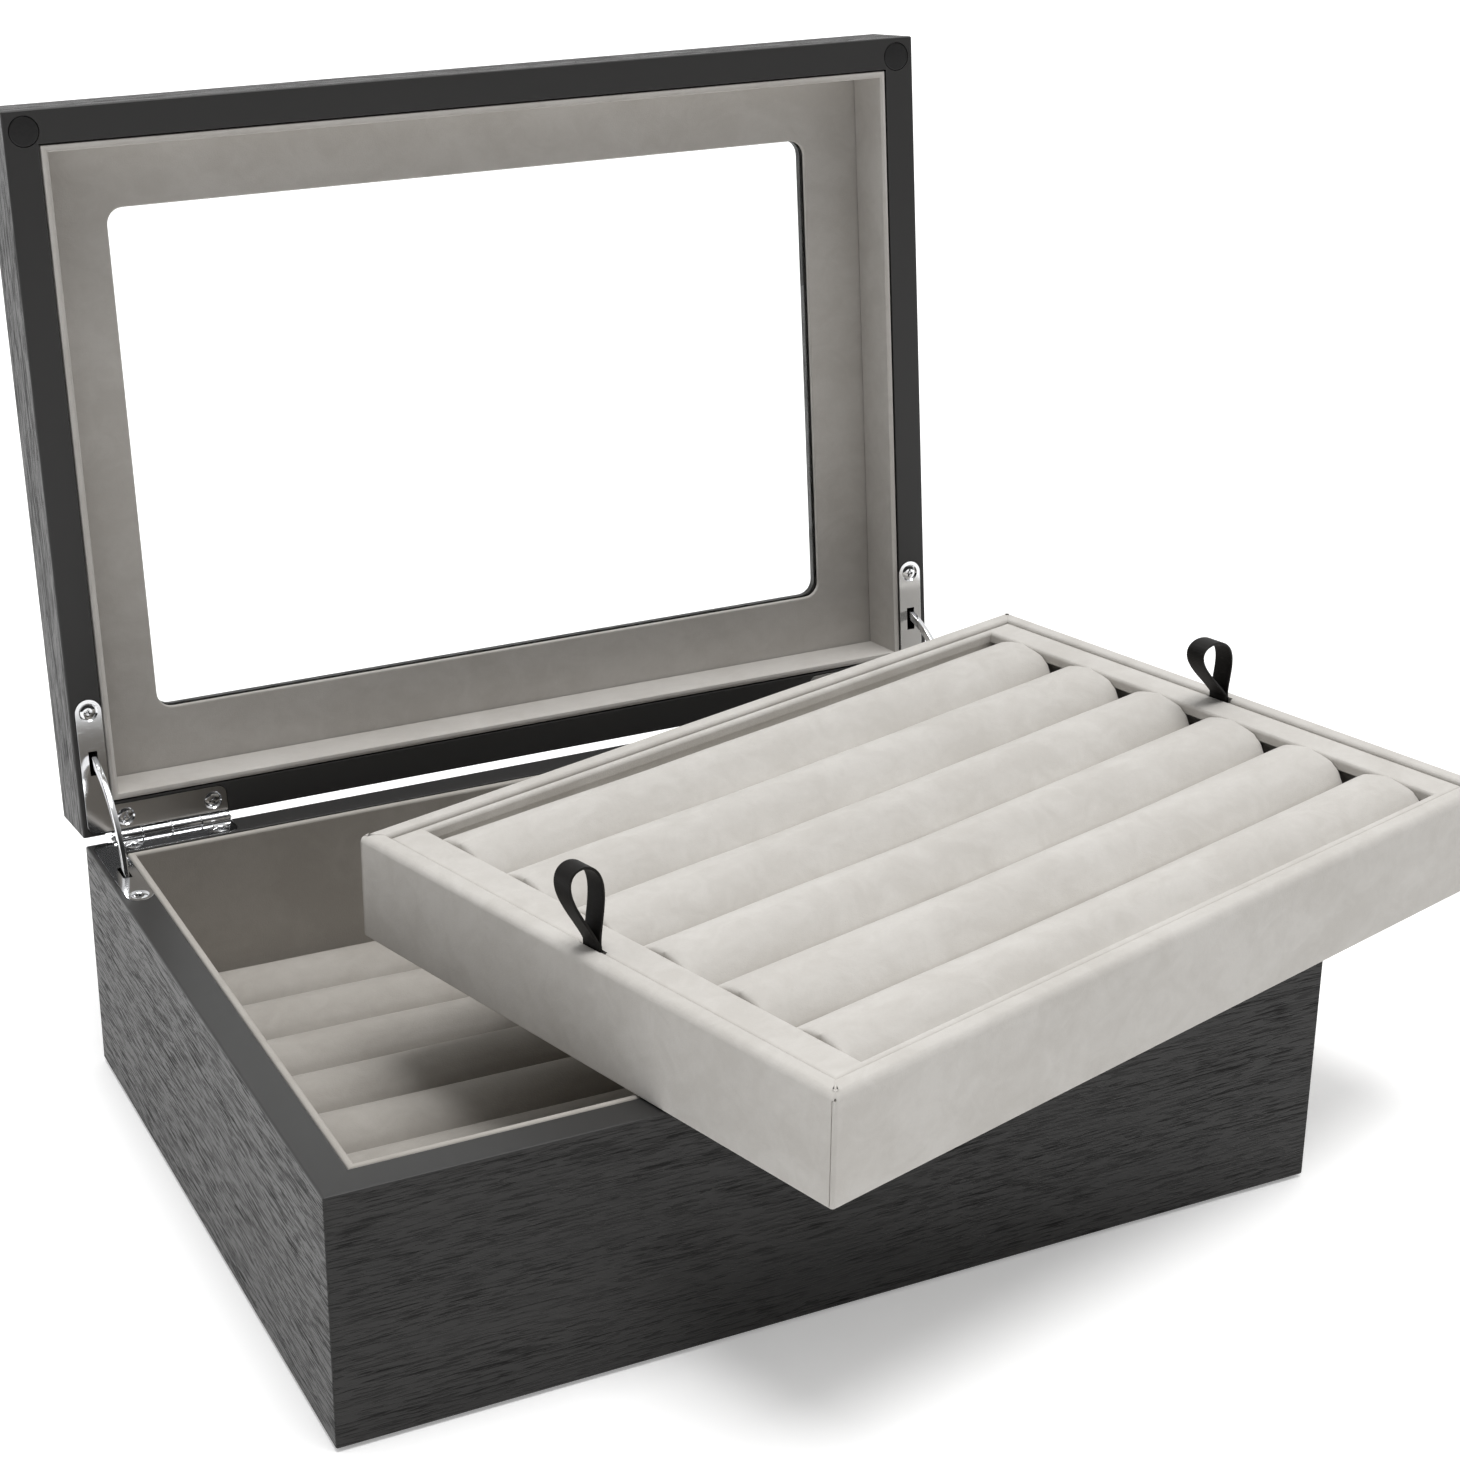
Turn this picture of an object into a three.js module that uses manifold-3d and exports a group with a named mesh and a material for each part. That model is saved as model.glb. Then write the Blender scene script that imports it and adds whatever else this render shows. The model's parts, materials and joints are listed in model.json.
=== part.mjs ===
// Lidded jewellery box with a glazed lid on two stay hinges and a lift-out tray of ring rolls.
// Millimetres, +X to the right, +Y to the back, +Z up. The origin is the centre of the
// box's underside. The lid stands open against its stays and the tray lies turned on the rim.
import * as THREE from "three";
import { mergeVertices } from "three/addons/utils/BufferGeometryUtils.js";
import Module from "manifold-3d";

const wasm = await Module();
wasm.setup();

// ---- Driving sizes -------------------------------------------------------------------

const TOUCH_GAP = 0.3; // between pieces that touch on the real box
const ARC_STEPS = 7; // straight facets in a half circle

const CASE = {
  width: 300,
  depth: 220,
  height: 75,
  wall: 10,
  felt: 1,
  feltInset: 3,
  bottomBoard: 4,
};

const LINING = { card: 2.2, rollBoard: 2 };

const BASE_ROLL = {
  count: 8,
  gap: 0.4,
  top: 34, // above the underside
  crown: 8, // from the shoulders up
  frontRoom: 6.2, // left in front of the last roll
};
const TRAY_REST = { thick: 4 };

const LID = {
  depth: 25, // from the rim to the outer face
  rimGap: 0.6, // between the two rims when the lid is shut
  openAngle: 96.5, // degrees
  panel: 5.8,
  matDepth: 17.6, // from the rim to the face of the window mat
  mat: 1.3,
  windowMargin: 32, // from the lid's outer edge to the window
  windowRadius: 5,
  glass: 2.2,
  glassLap: 6,
};

const MAGNET = { radius: 4.4, thick: 2, inset: 6.1 };

const TRAY = {
  endRoom: 2, // between its end and the lining
  sideRoom: 1.5,
  height: 32,
  wall: 6,
  corner: 1.5,
  floor: 2.5,
  endStrip: 11.3,
  sideStrip: 2.7,
  stripDrop: 0.8, // of the insert below the top of the frame
  x: 62.8,
  y: -39.4,
  turn: 15.7, // degrees
};

const TRAY_ROLL = { count: 6, gap: 0.4, proud: 0.2, crown: 9 }; // proud of the frame's top

const LOOP = {
  strap: 6.4,
  thick: 0.9,
  tail: 8,
  left: { rise: 25.2, halfWidth: 5.3, lean: 6 },
  right: { rise: 20.6, halfWidth: 6.8, lean: 9 },
};

const HINGE = {
  pinBehindBack: 1.3,
  pinRadius: 0.8,
  bore: 1.1,
  barrelRadius: 1.9,
  knuckles: 4,
  knuckleGap: 0.3,
  leaf: 1.2,
  armWidth: 8.2,
  armMargin: 1.7, // from the outer side face to the side arm
  armTip: 41, // from the pin to the side screw
  backWidth: 8.25, // the back arm, front to back
  backReach: 46.3, // from the outer side face to the back arm's end
  cornerRadius: 3,
  slotNear: 20.9, // from the pin
  slotFar: 28.6,
  slotWidth: 2.8,
};

const SCREW = {
  head: 2.4,
  headSink: 0.2,
  shank: 1,
  length: 8,
  countersink: 2.9,
  crossLong: 2.6,
  crossWide: 0.7,
  crossDeep: 0.5,
  nearCorner: 13.8, // from the outer side face
  farEnd: 41.7, // from the outer side face
  behind: 6.2, // from the pin
};

const STAY = {
  thick: 1.6,
  strip: 3,
  endReach: 27.5, // from the pin to the outer edge where it leaves the rim
  middleReach: 24.7, // from the pin to the outer edge half way round
  hidden: 5, // degrees of strip inside each rim when the lid is open
  share: 0.6, // of the lid's turn that the stay makes
  pocketWidth: 3.2,
  pocketPlay: 1,
};

// ---- Finishes ------------------------------------------------------------------------

const finish = (color, roughness, metalness = 0) =>
  new THREE.MeshStandardMaterial({ color, roughness, metalness });
const OAK = () => finish(0x2e2d2b, 0.55);
const VELVET = () => finish(0xb4aea6, 0.95);
const FELT = () => finish(0x1c1b1a, 1);
const CHROME = () => finish(0xd8dadc, 0.12, 1);
const STRAP = () => finish(0x16130f, 0.6);
const MAGNET_BLACK = () => finish(0x1b1a1a, 0.4);
const GLASS = () => {
  const pane = finish(0xeef4f2, 0.05);
  pane.transparent = true;
  pane.opacity = 0.3;
  return pane;
};

// ---- Solids --------------------------------------------------------------------------

const radians = THREE.MathUtils.degToRad;

function solid(geometry) {
  const bare = geometry.clone();
  bare.deleteAttribute("normal");
  bare.deleteAttribute("uv");
  const merged = mergeVertices(bare, 1e-4);
  return new wasm.Manifold(
    new wasm.Mesh({
      numProp: 3,
      vertProperties: new Float32Array(merged.attributes.position.array),
      triVerts: new Uint32Array(merged.index.array),
    }),
  );
}

function geometryOf(made) {
  const mesh = made.getMesh();
  const geometry = new THREE.BufferGeometry();
  geometry.setAttribute("position", new THREE.BufferAttribute(mesh.vertProperties, 3));
  geometry.setIndex(new THREE.BufferAttribute(mesh.triVerts, 1));
  return geometry.toNonIndexed();
}

function cut(geometry, tools) {
  return geometryOf(tools.reduce((left, tool) => left.subtract(solid(tool)), solid(geometry)));
}

function join(pieces) {
  return geometryOf(pieces.map(solid).reduce((sum, piece) => sum.add(piece)));
}

function block(x0, x1, y0, y1, z0, z1) {
  const geometry = new THREE.BoxGeometry(x1 - x0, y1 - y0, z1 - z0);
  return geometry.translate((x0 + x1) / 2, (y0 + y1) / 2, (z0 + z1) / 2);
}

// A flat outline in XY, raised from z0 to z1.
function raise(shape, z0, z1) {
  const geometry = new THREE.ExtrudeGeometry(shape, {
    depth: z1 - z0,
    bevelEnabled: false,
    curveSegments: Math.ceil(ARC_STEPS / 2),
  });
  return geometry.translate(0, 0, z0);
}

// An outline drawn as (y, z), run along X from x0 to x1.
function runAlongX(shape, x0, x1) {
  const turn = new THREE.Matrix4().makeBasis(
    new THREE.Vector3(0, 1, 0),
    new THREE.Vector3(0, 0, 1),
    new THREE.Vector3(1, 0, 0),
  );
  const geometry = new THREE.ExtrudeGeometry(shape, {
    depth: x1 - x0,
    bevelEnabled: false,
    curveSegments: ARC_STEPS,
  });
  return geometry.applyMatrix4(turn).translate(x0, 0, 0);
}

function rodAlongX(radius, x0, x1, y, z) {
  const circle = new THREE.Shape().absarc(y, z, radius, 0, 2 * Math.PI);
  return runAlongX(circle, x0, x1);
}

// The same solid mirrored about planes through the origin, with its faces still outwards.
function mirrored(geometry, sx, sy, sz) {
  const flat = geometry.index ? geometry.toNonIndexed() : geometry.clone();
  const bare = new THREE.BufferGeometry();
  bare.setAttribute("position", flat.getAttribute("position").clone());
  bare.scale(sx, sy, sz);
  if (sx * sy * sz < 0) {
    const p = bare.attributes.position.array;
    for (let i = 0; i < p.length; i += 9) {
      for (let k = 3; k < 6; k += 1) {
        [p[i + k], p[i + k + 3]] = [p[i + k + 3], p[i + k]];
      }
    }
  }
  return bare;
}

function outline(points) {
  return new THREE.Shape(points.map(([x, y]) => new THREE.Vector2(x, y)));
}

// A rectangle about the origin with rounded corners; radius 0 gives sharp ones.
function rounded(kind, length, width, radius) {
  const x = length / 2;
  const y = width / 2;
  const shape = new kind();
  if (radius === 0) {
    shape.moveTo(-x, -y).lineTo(x, -y).lineTo(x, y).lineTo(-x, y).closePath();
    return shape;
  }
  const quarter = Math.PI / 2;
  shape.moveTo(-x + radius, -y);
  shape.absarc(x - radius, -y + radius, radius, -quarter, 0);
  shape.absarc(x - radius, y - radius, radius, 0, quarter);
  shape.absarc(-x + radius, y - radius, radius, quarter, 2 * quarter);
  shape.absarc(-x + radius, -y + radius, radius, 2 * quarter, 3 * quarter);
  shape.closePath();
  return shape;
}

function ring(outer, inner, z0, z1, innerRadius = 0, outerRadius = 0) {
  const shape = rounded(THREE.Shape, outer[0], outer[1], outerRadius);
  shape.holes.push(rounded(THREE.Path, inner[0], inner[1], innerRadius));
  return raise(shape, z0, z1);
}

function add(group, name, geometry, material) {
  const mesh = new THREE.Mesh(geometry, material);
  mesh.name = name;
  group.add(mesh);
  return mesh;
}

// ---- Places that several pieces share --------------------------------------------------

const inside = {
  length: CASE.width - 2 * CASE.wall,
  width: CASE.depth - 2 * CASE.wall,
};
const lined = {
  length: inside.length - 2 * (LINING.card + TOUCH_GAP),
  width: inside.width - 2 * (LINING.card + TOUCH_GAP),
};
const boardBottom = CASE.felt + TOUCH_GAP;
const boardTop = boardBottom + CASE.bottomBoard;
const rollBoardTop = boardTop + TOUCH_GAP + LINING.rollBoard;
const pin = {
  y: CASE.depth / 2 + HINGE.pinBehindBack,
  z: CASE.height + LID.rimGap / 2,
};
const armX = CASE.width / 2 - HINGE.armMargin - HINGE.armWidth / 2;
const lidRim = CASE.height + LID.rimGap;
const lidTop = lidRim + LID.depth;

// ---- Hinge hardware --------------------------------------------------------------------
// Drawn at the right-hand hinge with the pin through the origin: x is the box's own,
// y runs to the back and z runs from the pin into the wood.

const rimDepth = LID.rimGap / 2;
const barrelEnd = CASE.width / 2 - HINGE.backReach;
const barrelLength = armX - HINGE.slotWidth / 2 - TOUCH_GAP - 1.4 - barrelEnd;
const barrelReach = HINGE.barrelRadius + TOUCH_GAP;

// The L-shaped outline of a leaf, grown by the given amount.
function leafShape(grow) {
  const outer = CASE.width / 2 - HINGE.armMargin + grow;
  const innerArm = outer - HINGE.armWidth - 2 * grow;
  const innerEnd = barrelEnd - grow;
  const back = -barrelReach + grow;
  const front = -barrelReach - HINGE.backWidth - grow;
  const tip = HINGE.armWidth / 2 + grow;
  const corner = HINGE.cornerRadius + grow;
  const quarter = Math.PI / 2;
  const shape = new THREE.Shape();
  shape.moveTo(innerEnd, back);
  shape.lineTo(innerEnd, front + corner);
  shape.absarc(innerEnd + corner, front + corner, corner, 2 * quarter, 3 * quarter);
  shape.lineTo(innerArm, front);
  shape.lineTo(innerArm, -HINGE.armTip);
  shape.absarc(armX, -HINGE.armTip, tip, 2 * quarter, 4 * quarter);
  shape.lineTo(outer, back - corner);
  shape.absarc(outer - corner, back - corner, corner, 0, quarter);
  shape.closePath();
  return shape;
}

const screwSpots = [
  [armX, -HINGE.armTip],
  [CASE.width / 2 - SCREW.nearCorner, -SCREW.behind],
  [CASE.width / 2 - SCREW.farEnd, -SCREW.behind],
];

// A profile of (radius, depth into the wood) turned about an axis at (x, y), from z down.
function turned(profile, x, y, z) {
  const points = profile.map(([r, h]) => new THREE.Vector2(r, h));
  const geometry = new THREE.LatheGeometry(points, 2 * ARC_STEPS);
  return geometry.rotateX(Math.PI / 2).translate(x, y, z);
}

function knuckleSpans(first) {
  const pitch = (barrelLength + HINGE.knuckleGap) / HINGE.knuckles;
  const spans = [];
  for (let i = first; i < HINGE.knuckles; i += 2) {
    const start = barrelEnd + i * pitch;
    spans.push([start, start + pitch - HINGE.knuckleGap]);
  }
  return spans;
}

// A leaf with its knuckles, slot and countersunk holes. first is 0 or 1: whose knuckle leads.
function leaf(first) {
  const plate = raise(leafShape(0), rimDepth, rimDepth + HINGE.leaf);
  const knuckles = knuckleSpans(first).flatMap(([x0, x1]) => [
    rodAlongX(HINGE.barrelRadius, x0, x1, 0, 0),
    block(x0, x1, -barrelReach - 1, 0, rimDepth, rimDepth + HINGE.leaf),
  ]);
  const bore = rodAlongX(HINGE.bore, barrelEnd - 1, barrelEnd + barrelLength + 1, 0, 0);
  const slot = block(
    armX - HINGE.slotWidth / 2,
    armX + HINGE.slotWidth / 2,
    -HINGE.slotFar,
    -HINGE.slotNear,
    rimDepth - 1,
    rimDepth + HINGE.leaf + 1,
  );
  const narrow = SCREW.countersink - HINGE.leaf;
  const sinkProfile = [
    [0, -1],
    [SCREW.countersink, -1],
    [SCREW.countersink, 0],
    [narrow, HINGE.leaf],
    [narrow, HINGE.leaf + 1],
    [0, HINGE.leaf + 1],
  ];
  const sinks = screwSpots.map(([x, y]) => turned(sinkProfile, x, y, rimDepth));
  return cut(join([plate, ...knuckles]), [bore, slot, ...sinks]);
}

// A countersunk screw with a cross recess, its head just under the leaf's face.
const screwTop = rimDepth + SCREW.headSink;
const headDepth = SCREW.head - SCREW.shank;

function screw([x, y]) {
  const profile = [
    [0, 0],
    [SCREW.head, 0],
    [SCREW.shank, headDepth],
    [SCREW.shank, SCREW.length - 2],
    [SCREW.shank * 0.4, SCREW.length],
    [0, SCREW.length],
  ];
  const half = SCREW.crossLong / 2;
  const wide = SCREW.crossWide / 2;
  const cross = [
    block(-half, half, -wide, wide, -1, SCREW.crossDeep),
    block(-wide, wide, -half, half, -1, SCREW.crossDeep),
  ];
  return cut(turned(profile, 0, 0, 0), cross).translate(x, y, screwTop);
}

function pilotHole([x, y]) {
  const radius = SCREW.head + TOUCH_GAP;
  const narrow = SCREW.shank + TOUCH_GAP;
  const depth = SCREW.length + TOUCH_GAP;
  const profile = [
    [0, -screwTop - 1],
    [radius, -screwTop - 1],
    [radius, 0],
    [narrow, headDepth],
    [narrow, depth],
    [0, depth],
  ];
  return turned(profile, x, y, screwTop);
}

// The pocket that the stay slides in: part of a ring about the pin.
function stayPocket(degrees) {
  const inner = stayArc.nearest - STAY.pocketPlay;
  const outer = stayArc.farthest + STAY.pocketPlay;
  const start = Math.PI - radians(degrees);
  const shape = new THREE.Shape();
  shape.moveTo(-outer, -rimDepth - 1);
  shape.lineTo(-inner, -rimDepth - 1);
  shape.absarc(0, 0, inner, Math.PI, start, true);
  shape.absarc(0, 0, outer, start, Math.PI, false);
  shape.closePath();
  const half = STAY.pocketWidth / 2;
  return runAlongX(shape, armX - half, armX + half);
}

// The stay is a flat strip on an arc flatter than a circle about the pin. Angles are
// measured at the pin from the middle of the lid's opening.
const stayArc = (() => {
  const half = radians(LID.openAngle / 2);
  const chord = STAY.endReach * Math.sin(half);
  const rise = STAY.middleReach - STAY.endReach * Math.cos(half);
  const radius = (chord * chord + rise * rise) / (2 * rise);
  const centre = radius - STAY.middleReach; // beyond the pin
  const reach = (angle, arc) =>
    -centre * Math.cos(angle) + Math.sqrt(arc * arc - (centre * Math.sin(angle)) ** 2);
  const end = half + radians(STAY.hidden);
  return {
    radius,
    centre,
    end,
    reach,
    nearest: STAY.middleReach - STAY.strip,
    farthest: reach(end, radius),
  };
})();

// The stay where it stands with the lid open, drawn as (y, z) about the pin.
function stay() {
  const middle = Math.PI - radians(LID.openAngle / 2);
  const point = (angle, arc) => {
    const r = stayArc.reach(angle, arc);
    return [r * Math.cos(middle + angle), r * Math.sin(middle + angle)];
  };
  const steps = 2 * ARC_STEPS; // even, so that one falls in the middle
  const along = [...Array(steps + 1).keys()].map((i) => stayArc.end * ((2 * i) / steps - 1));
  const outer = along.map((angle) => point(angle, stayArc.radius));
  const inner = along.map((angle) => point(angle, stayArc.radius - STAY.strip)).reverse();
  const shape = outline([...outer, ...inner]);
  return runAlongX(shape, armX - STAY.thick / 2, armX + STAY.thick / 2);
}

const shutAngle = STAY.share * LID.openAngle; // how far the stay goes down into the case
const pocketSpare = 4;
const casePocket = STAY.hidden + shutAngle + pocketSpare;
const lidPocket = STAY.hidden + LID.openAngle - shutAngle + pocketSpare;

// Everything cut from the wood at one hinge, for a rim whose pocket turns so many degrees.
function hingeCuts(pocketDegrees) {
  const recess = raise(leafShape(0.25), -1, rimDepth + HINGE.leaf + TOUCH_GAP);
  const barrel = rodAlongX(
    barrelReach,
    barrelEnd - TOUCH_GAP,
    barrelEnd + barrelLength + 2,
    0,
    0,
  );
  const relief = block(
    barrelEnd - TOUCH_GAP,
    barrelEnd + barrelLength + 2,
    -barrelReach - 1.2,
    barrelReach,
    -1,
    rimDepth + HINGE.leaf + TOUCH_GAP,
  );
  return [recess, barrel, relief, stayPocket(pocketDegrees), ...screwSpots.map(pilotHole)];
}

// A hinge piece moved from its own frame to a side of the box (side -1 or 1), on the case
// (up -1) or on the shut lid (up 1).
function onBox(geometry, side, up) {
  return mirrored(geometry, side, 1, up).translate(0, pin.y, pin.z);
}

function cutForHinges(geometry, up, sides) {
  const degrees = up < 0 ? casePocket : lidPocket;
  const tools = sides.flatMap((side) => hingeCuts(degrees).map((tool) => onBox(tool, side, up)));
  return cut(geometry, tools);
}

// ---- Mitred walls ----------------------------------------------------------------------

// Front, back, left and right walls between two heights. The mitres stand slightly apart.
function walls(z0, z1) {
  const x = CASE.width / 2;
  const y = CASE.depth / 2;
  const t = CASE.wall;
  const m = (TOUCH_GAP * Math.SQRT2) / 2;
  const long = [
    [-x + m, -y],
    [x - m, -y],
    [x - t - m, -y + t],
    [-x + t + m, -y + t],
  ];
  const short = [
    [x, -y + m],
    [x, y - m],
    [x - t, y - t - m],
    [x - t, -y + t + m],
  ];
  const front = raise(outline(long), z0, z1);
  const right = raise(outline(short), z0, z1);
  return {
    front,
    back: mirrored(front, 1, -1, 1),
    right,
    left: mirrored(right, -1, 1, 1),
  };
}

// ---- Ring rolls --------------------------------------------------------------------------

// A padded roll along X: flat below, with upright sides and a half-ellipse for its crown.
function roll(length, width, bottom, top, crown) {
  const r = width / 2;
  const shape = new THREE.Shape();
  shape.moveTo(-r, bottom).lineTo(r, bottom).lineTo(r, top - crown);
  shape.absellipse(0, top - crown, r, crown, 0, Math.PI);
  shape.closePath();
  return runAlongX(shape, -length / 2, length / 2);
}

// ---- Case --------------------------------------------------------------------------------

const box = new THREE.Group();
box.name = "jewellery_box";

function buildCase() {
  const group = new THREE.Group();
  const wall = walls(CASE.felt, CASE.height);
  add(group, "base_front_panel", wall.front, OAK());
  add(group, "base_back_panel", cutForHinges(wall.back, -1, [-1, 1]), OAK());
  add(group, "base_left_panel", cutForHinges(wall.left, -1, [-1]), OAK());
  add(group, "base_right_panel", cutForHinges(wall.right, -1, [1]), OAK());

  const boardX = inside.length / 2 - TOUCH_GAP;
  const boardY = inside.width / 2 - TOUCH_GAP;
  const board = block(-boardX, boardX, -boardY, boardY, boardBottom, boardTop);
  add(group, "base_bottom_board", board, OAK());

  const feltX = CASE.width / 2 - CASE.feltInset;
  const feltY = CASE.depth / 2 - CASE.feltInset;
  add(group, "base_felt", block(-feltX, feltX, -feltY, feltY, 0, CASE.felt), FELT());

  const liningOuter = [inside.length - 2 * TOUCH_GAP, inside.width - 2 * TOUCH_GAP];
  const liningInner = [lined.length, lined.width];
  const lining = ring(liningOuter, liningInner, boardTop + TOUCH_GAP, CASE.height);
  add(group, "base_lining", lining, VELVET());

  const floorX = lined.length / 2 - TOUCH_GAP;
  const floorY = lined.width / 2 - TOUCH_GAP;
  const rollBoard = block(-floorX, floorX, -floorY, floorY, boardTop + TOUCH_GAP, rollBoardTop);
  add(group, "base_roll_board", rollBoard, VELVET());

  const restOuter = floorX;
  const restInner = restOuter - TRAY_REST.thick;
  const restTop = CASE.height - TRAY.height - TOUCH_GAP;
  const rest = block(restInner, restOuter, -floorY, floorY, rollBoardTop + TOUCH_GAP, restTop);
  add(group, "tray_rest_left", mirrored(rest, -1, 1, 1), VELVET());
  add(group, "tray_rest_right", rest, VELVET());

  const pitch = (lined.width - BASE_ROLL.frontRoom) / BASE_ROLL.count;
  const rollWidth = pitch - BASE_ROLL.gap;
  const rollLength = 2 * (restInner - TOUCH_GAP);
  for (let i = 0; i < BASE_ROLL.count; i += 1) {
    const bottom = rollBoardTop + TOUCH_GAP;
    const shape = roll(rollLength, rollWidth, bottom, BASE_ROLL.top, BASE_ROLL.crown);
    const y = lined.width / 2 - pitch * (i + 0.5);
    add(group, `base_roll_${i + 1}`, shape, VELVET()).position.y = y;
  }
  return group;
}

// ---- Lid, drawn shut and then turned open about the pin -------------------------------------

function buildLid() {
  const group = new THREE.Group();
  const wall = walls(lidRim, lidTop);
  const magnetX = CASE.width / 2 - MAGNET.inset;
  const magnetY = -CASE.depth / 2 + MAGNET.inset;
  const magnetHole = (side) => {
    const depth = MAGNET.thick + TOUCH_GAP;
    const hole = new THREE.Shape().absarc(
      side * magnetX,
      magnetY,
      MAGNET.radius + TOUCH_GAP,
      0,
      2 * Math.PI,
    );
    return raise(hole, lidRim - 1, lidRim + depth);
  };
  const front = cut(wall.front, [magnetHole(-1), magnetHole(1)]);
  const left = cut(cutForHinges(wall.left, 1, [-1]), [magnetHole(-1)]);
  const right = cut(cutForHinges(wall.right, 1, [1]), [magnetHole(1)]);
  add(group, "lid_front_rail", front, OAK());
  add(group, "lid_back_rail", cutForHinges(wall.back, 1, [-1, 1]), OAK());
  add(group, "lid_left_rail", left, OAK());
  add(group, "lid_right_rail", right, OAK());

  const panelSize = [inside.length - 2 * TOUCH_GAP, inside.width - 2 * TOUCH_GAP];
  const windowSize = [
    CASE.width - 2 * LID.windowMargin,
    CASE.depth - 2 * LID.windowMargin,
  ];
  const panelBottom = lidTop - LID.panel;
  const solidPanel = ring(panelSize, windowSize, panelBottom, lidTop, LID.windowRadius);
  const paneSize = windowSize.map((size) => size + 2 * LID.glassLap);
  const rebate = rounded(
    THREE.Shape,
    paneSize[0] + 2 * TOUCH_GAP,
    paneSize[1] + 2 * TOUCH_GAP,
    0,
  );
  const rebateTop = panelBottom + LID.glass + 2 * TOUCH_GAP;
  const panel = cut(solidPanel, [raise(rebate, panelBottom - 1, rebateTop)]);
  add(group, "lid_top_panel", panel, OAK());

  const pane = raise(
    rounded(THREE.Shape, paneSize[0], paneSize[1], 0),
    panelBottom + TOUCH_GAP,
    panelBottom + TOUCH_GAP + LID.glass,
  );
  add(group, "lid_glass", pane, GLASS());

  const matFace = lidRim + LID.matDepth;
  const mat = ring(panelSize, windowSize, matFace, matFace + LID.mat, LID.windowRadius);
  add(group, "lid_window_mat", mat, VELVET());

  const liningInner = [lined.length, lined.width];
  const lining = ring(panelSize, liningInner, lidRim, matFace - TOUCH_GAP);
  add(group, "lid_lining", lining, VELVET());

  for (const [side, word] of [[-1, "left"], [1, "right"]]) {
    const disc = new THREE.Shape().absarc(
      side * magnetX,
      magnetY,
      MAGNET.radius,
      0,
      2 * Math.PI,
    );
    const magnet = raise(disc, lidRim, lidRim + MAGNET.thick);
    add(group, `lid_magnet_${word}`, magnet, MAGNET_BLACK());
    addHingeHalf(group, "lid", side, word, 1);
  }
  return group;
}

function addHingeHalf(group, owner, side, word, up) {
  const first = up < 0 ? 0 : 1;
  add(group, `${owner}_hinge_leaf_${word}`, onBox(leaf(first), side, up), CHROME());
  screwSpots.forEach((spot, i) => {
    const place = ["side", "corner", "back"][i];
    const name = `${owner}_screw_${word}_${place}`;
    add(group, name, onBox(screw(spot), side, up), CHROME());
  });
}

// ---- Tray ------------------------------------------------------------------------------------

// A strap folded into a leaning loop with its two ends laid together below, drawn as (x, z).
function pullLoop({ rise, halfWidth, lean }, foot) {
  const half = LOOP.thick / 2;
  const fullness = 1 / 0.6495; // brings the drop's widest place to the half width
  const centre = (t) => {
    const z = (rise * (1 - Math.cos(t))) / 2;
    const swing = halfWidth * fullness * Math.sin(t) * Math.sin(t / 2) ** 2;
    return new THREE.Vector2(swing - (lean * z) / rise, z);
  };
  const steps = 4 * ARC_STEPS;
  const start = 0.16 * Math.PI;
  const spots = [...Array(steps + 1).keys()].map(
    (i) => start + ((2 * Math.PI - 2 * start) * i) / steps,
  );
  const side = (t, offset) => {
    const ahead = centre(t + 0.01).sub(centre(t - 0.01)).normalize();
    return centre(t).add(new THREE.Vector2(ahead.y, -ahead.x).multiplyScalar(offset));
  };
  const outer = spots.map((t) => side(t, half));
  const inner = spots.map((t) => side(t, -half)).reverse();
  const band = new THREE.Shape([...outer, ...inner]);
  const root = new THREE.Shape();
  root.moveTo(-foot, -LOOP.tail).lineTo(foot, -LOOP.tail).lineTo(foot, 1);
  root.lineTo(outer[0].x, outer[0].y + 0.8).lineTo(outer[steps].x, outer[steps].y + 0.8);
  root.lineTo(-foot, 1).closePath();
  const strip = (shape) => {
    const geometry = new THREE.ExtrudeGeometry(shape, {
      depth: LOOP.strap,
      bevelEnabled: false,
    });
    return geometry.translate(0, 0, -LOOP.strap / 2).rotateX(Math.PI / 2);
  };
  return join([strip(band), strip(root)]);
}

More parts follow.
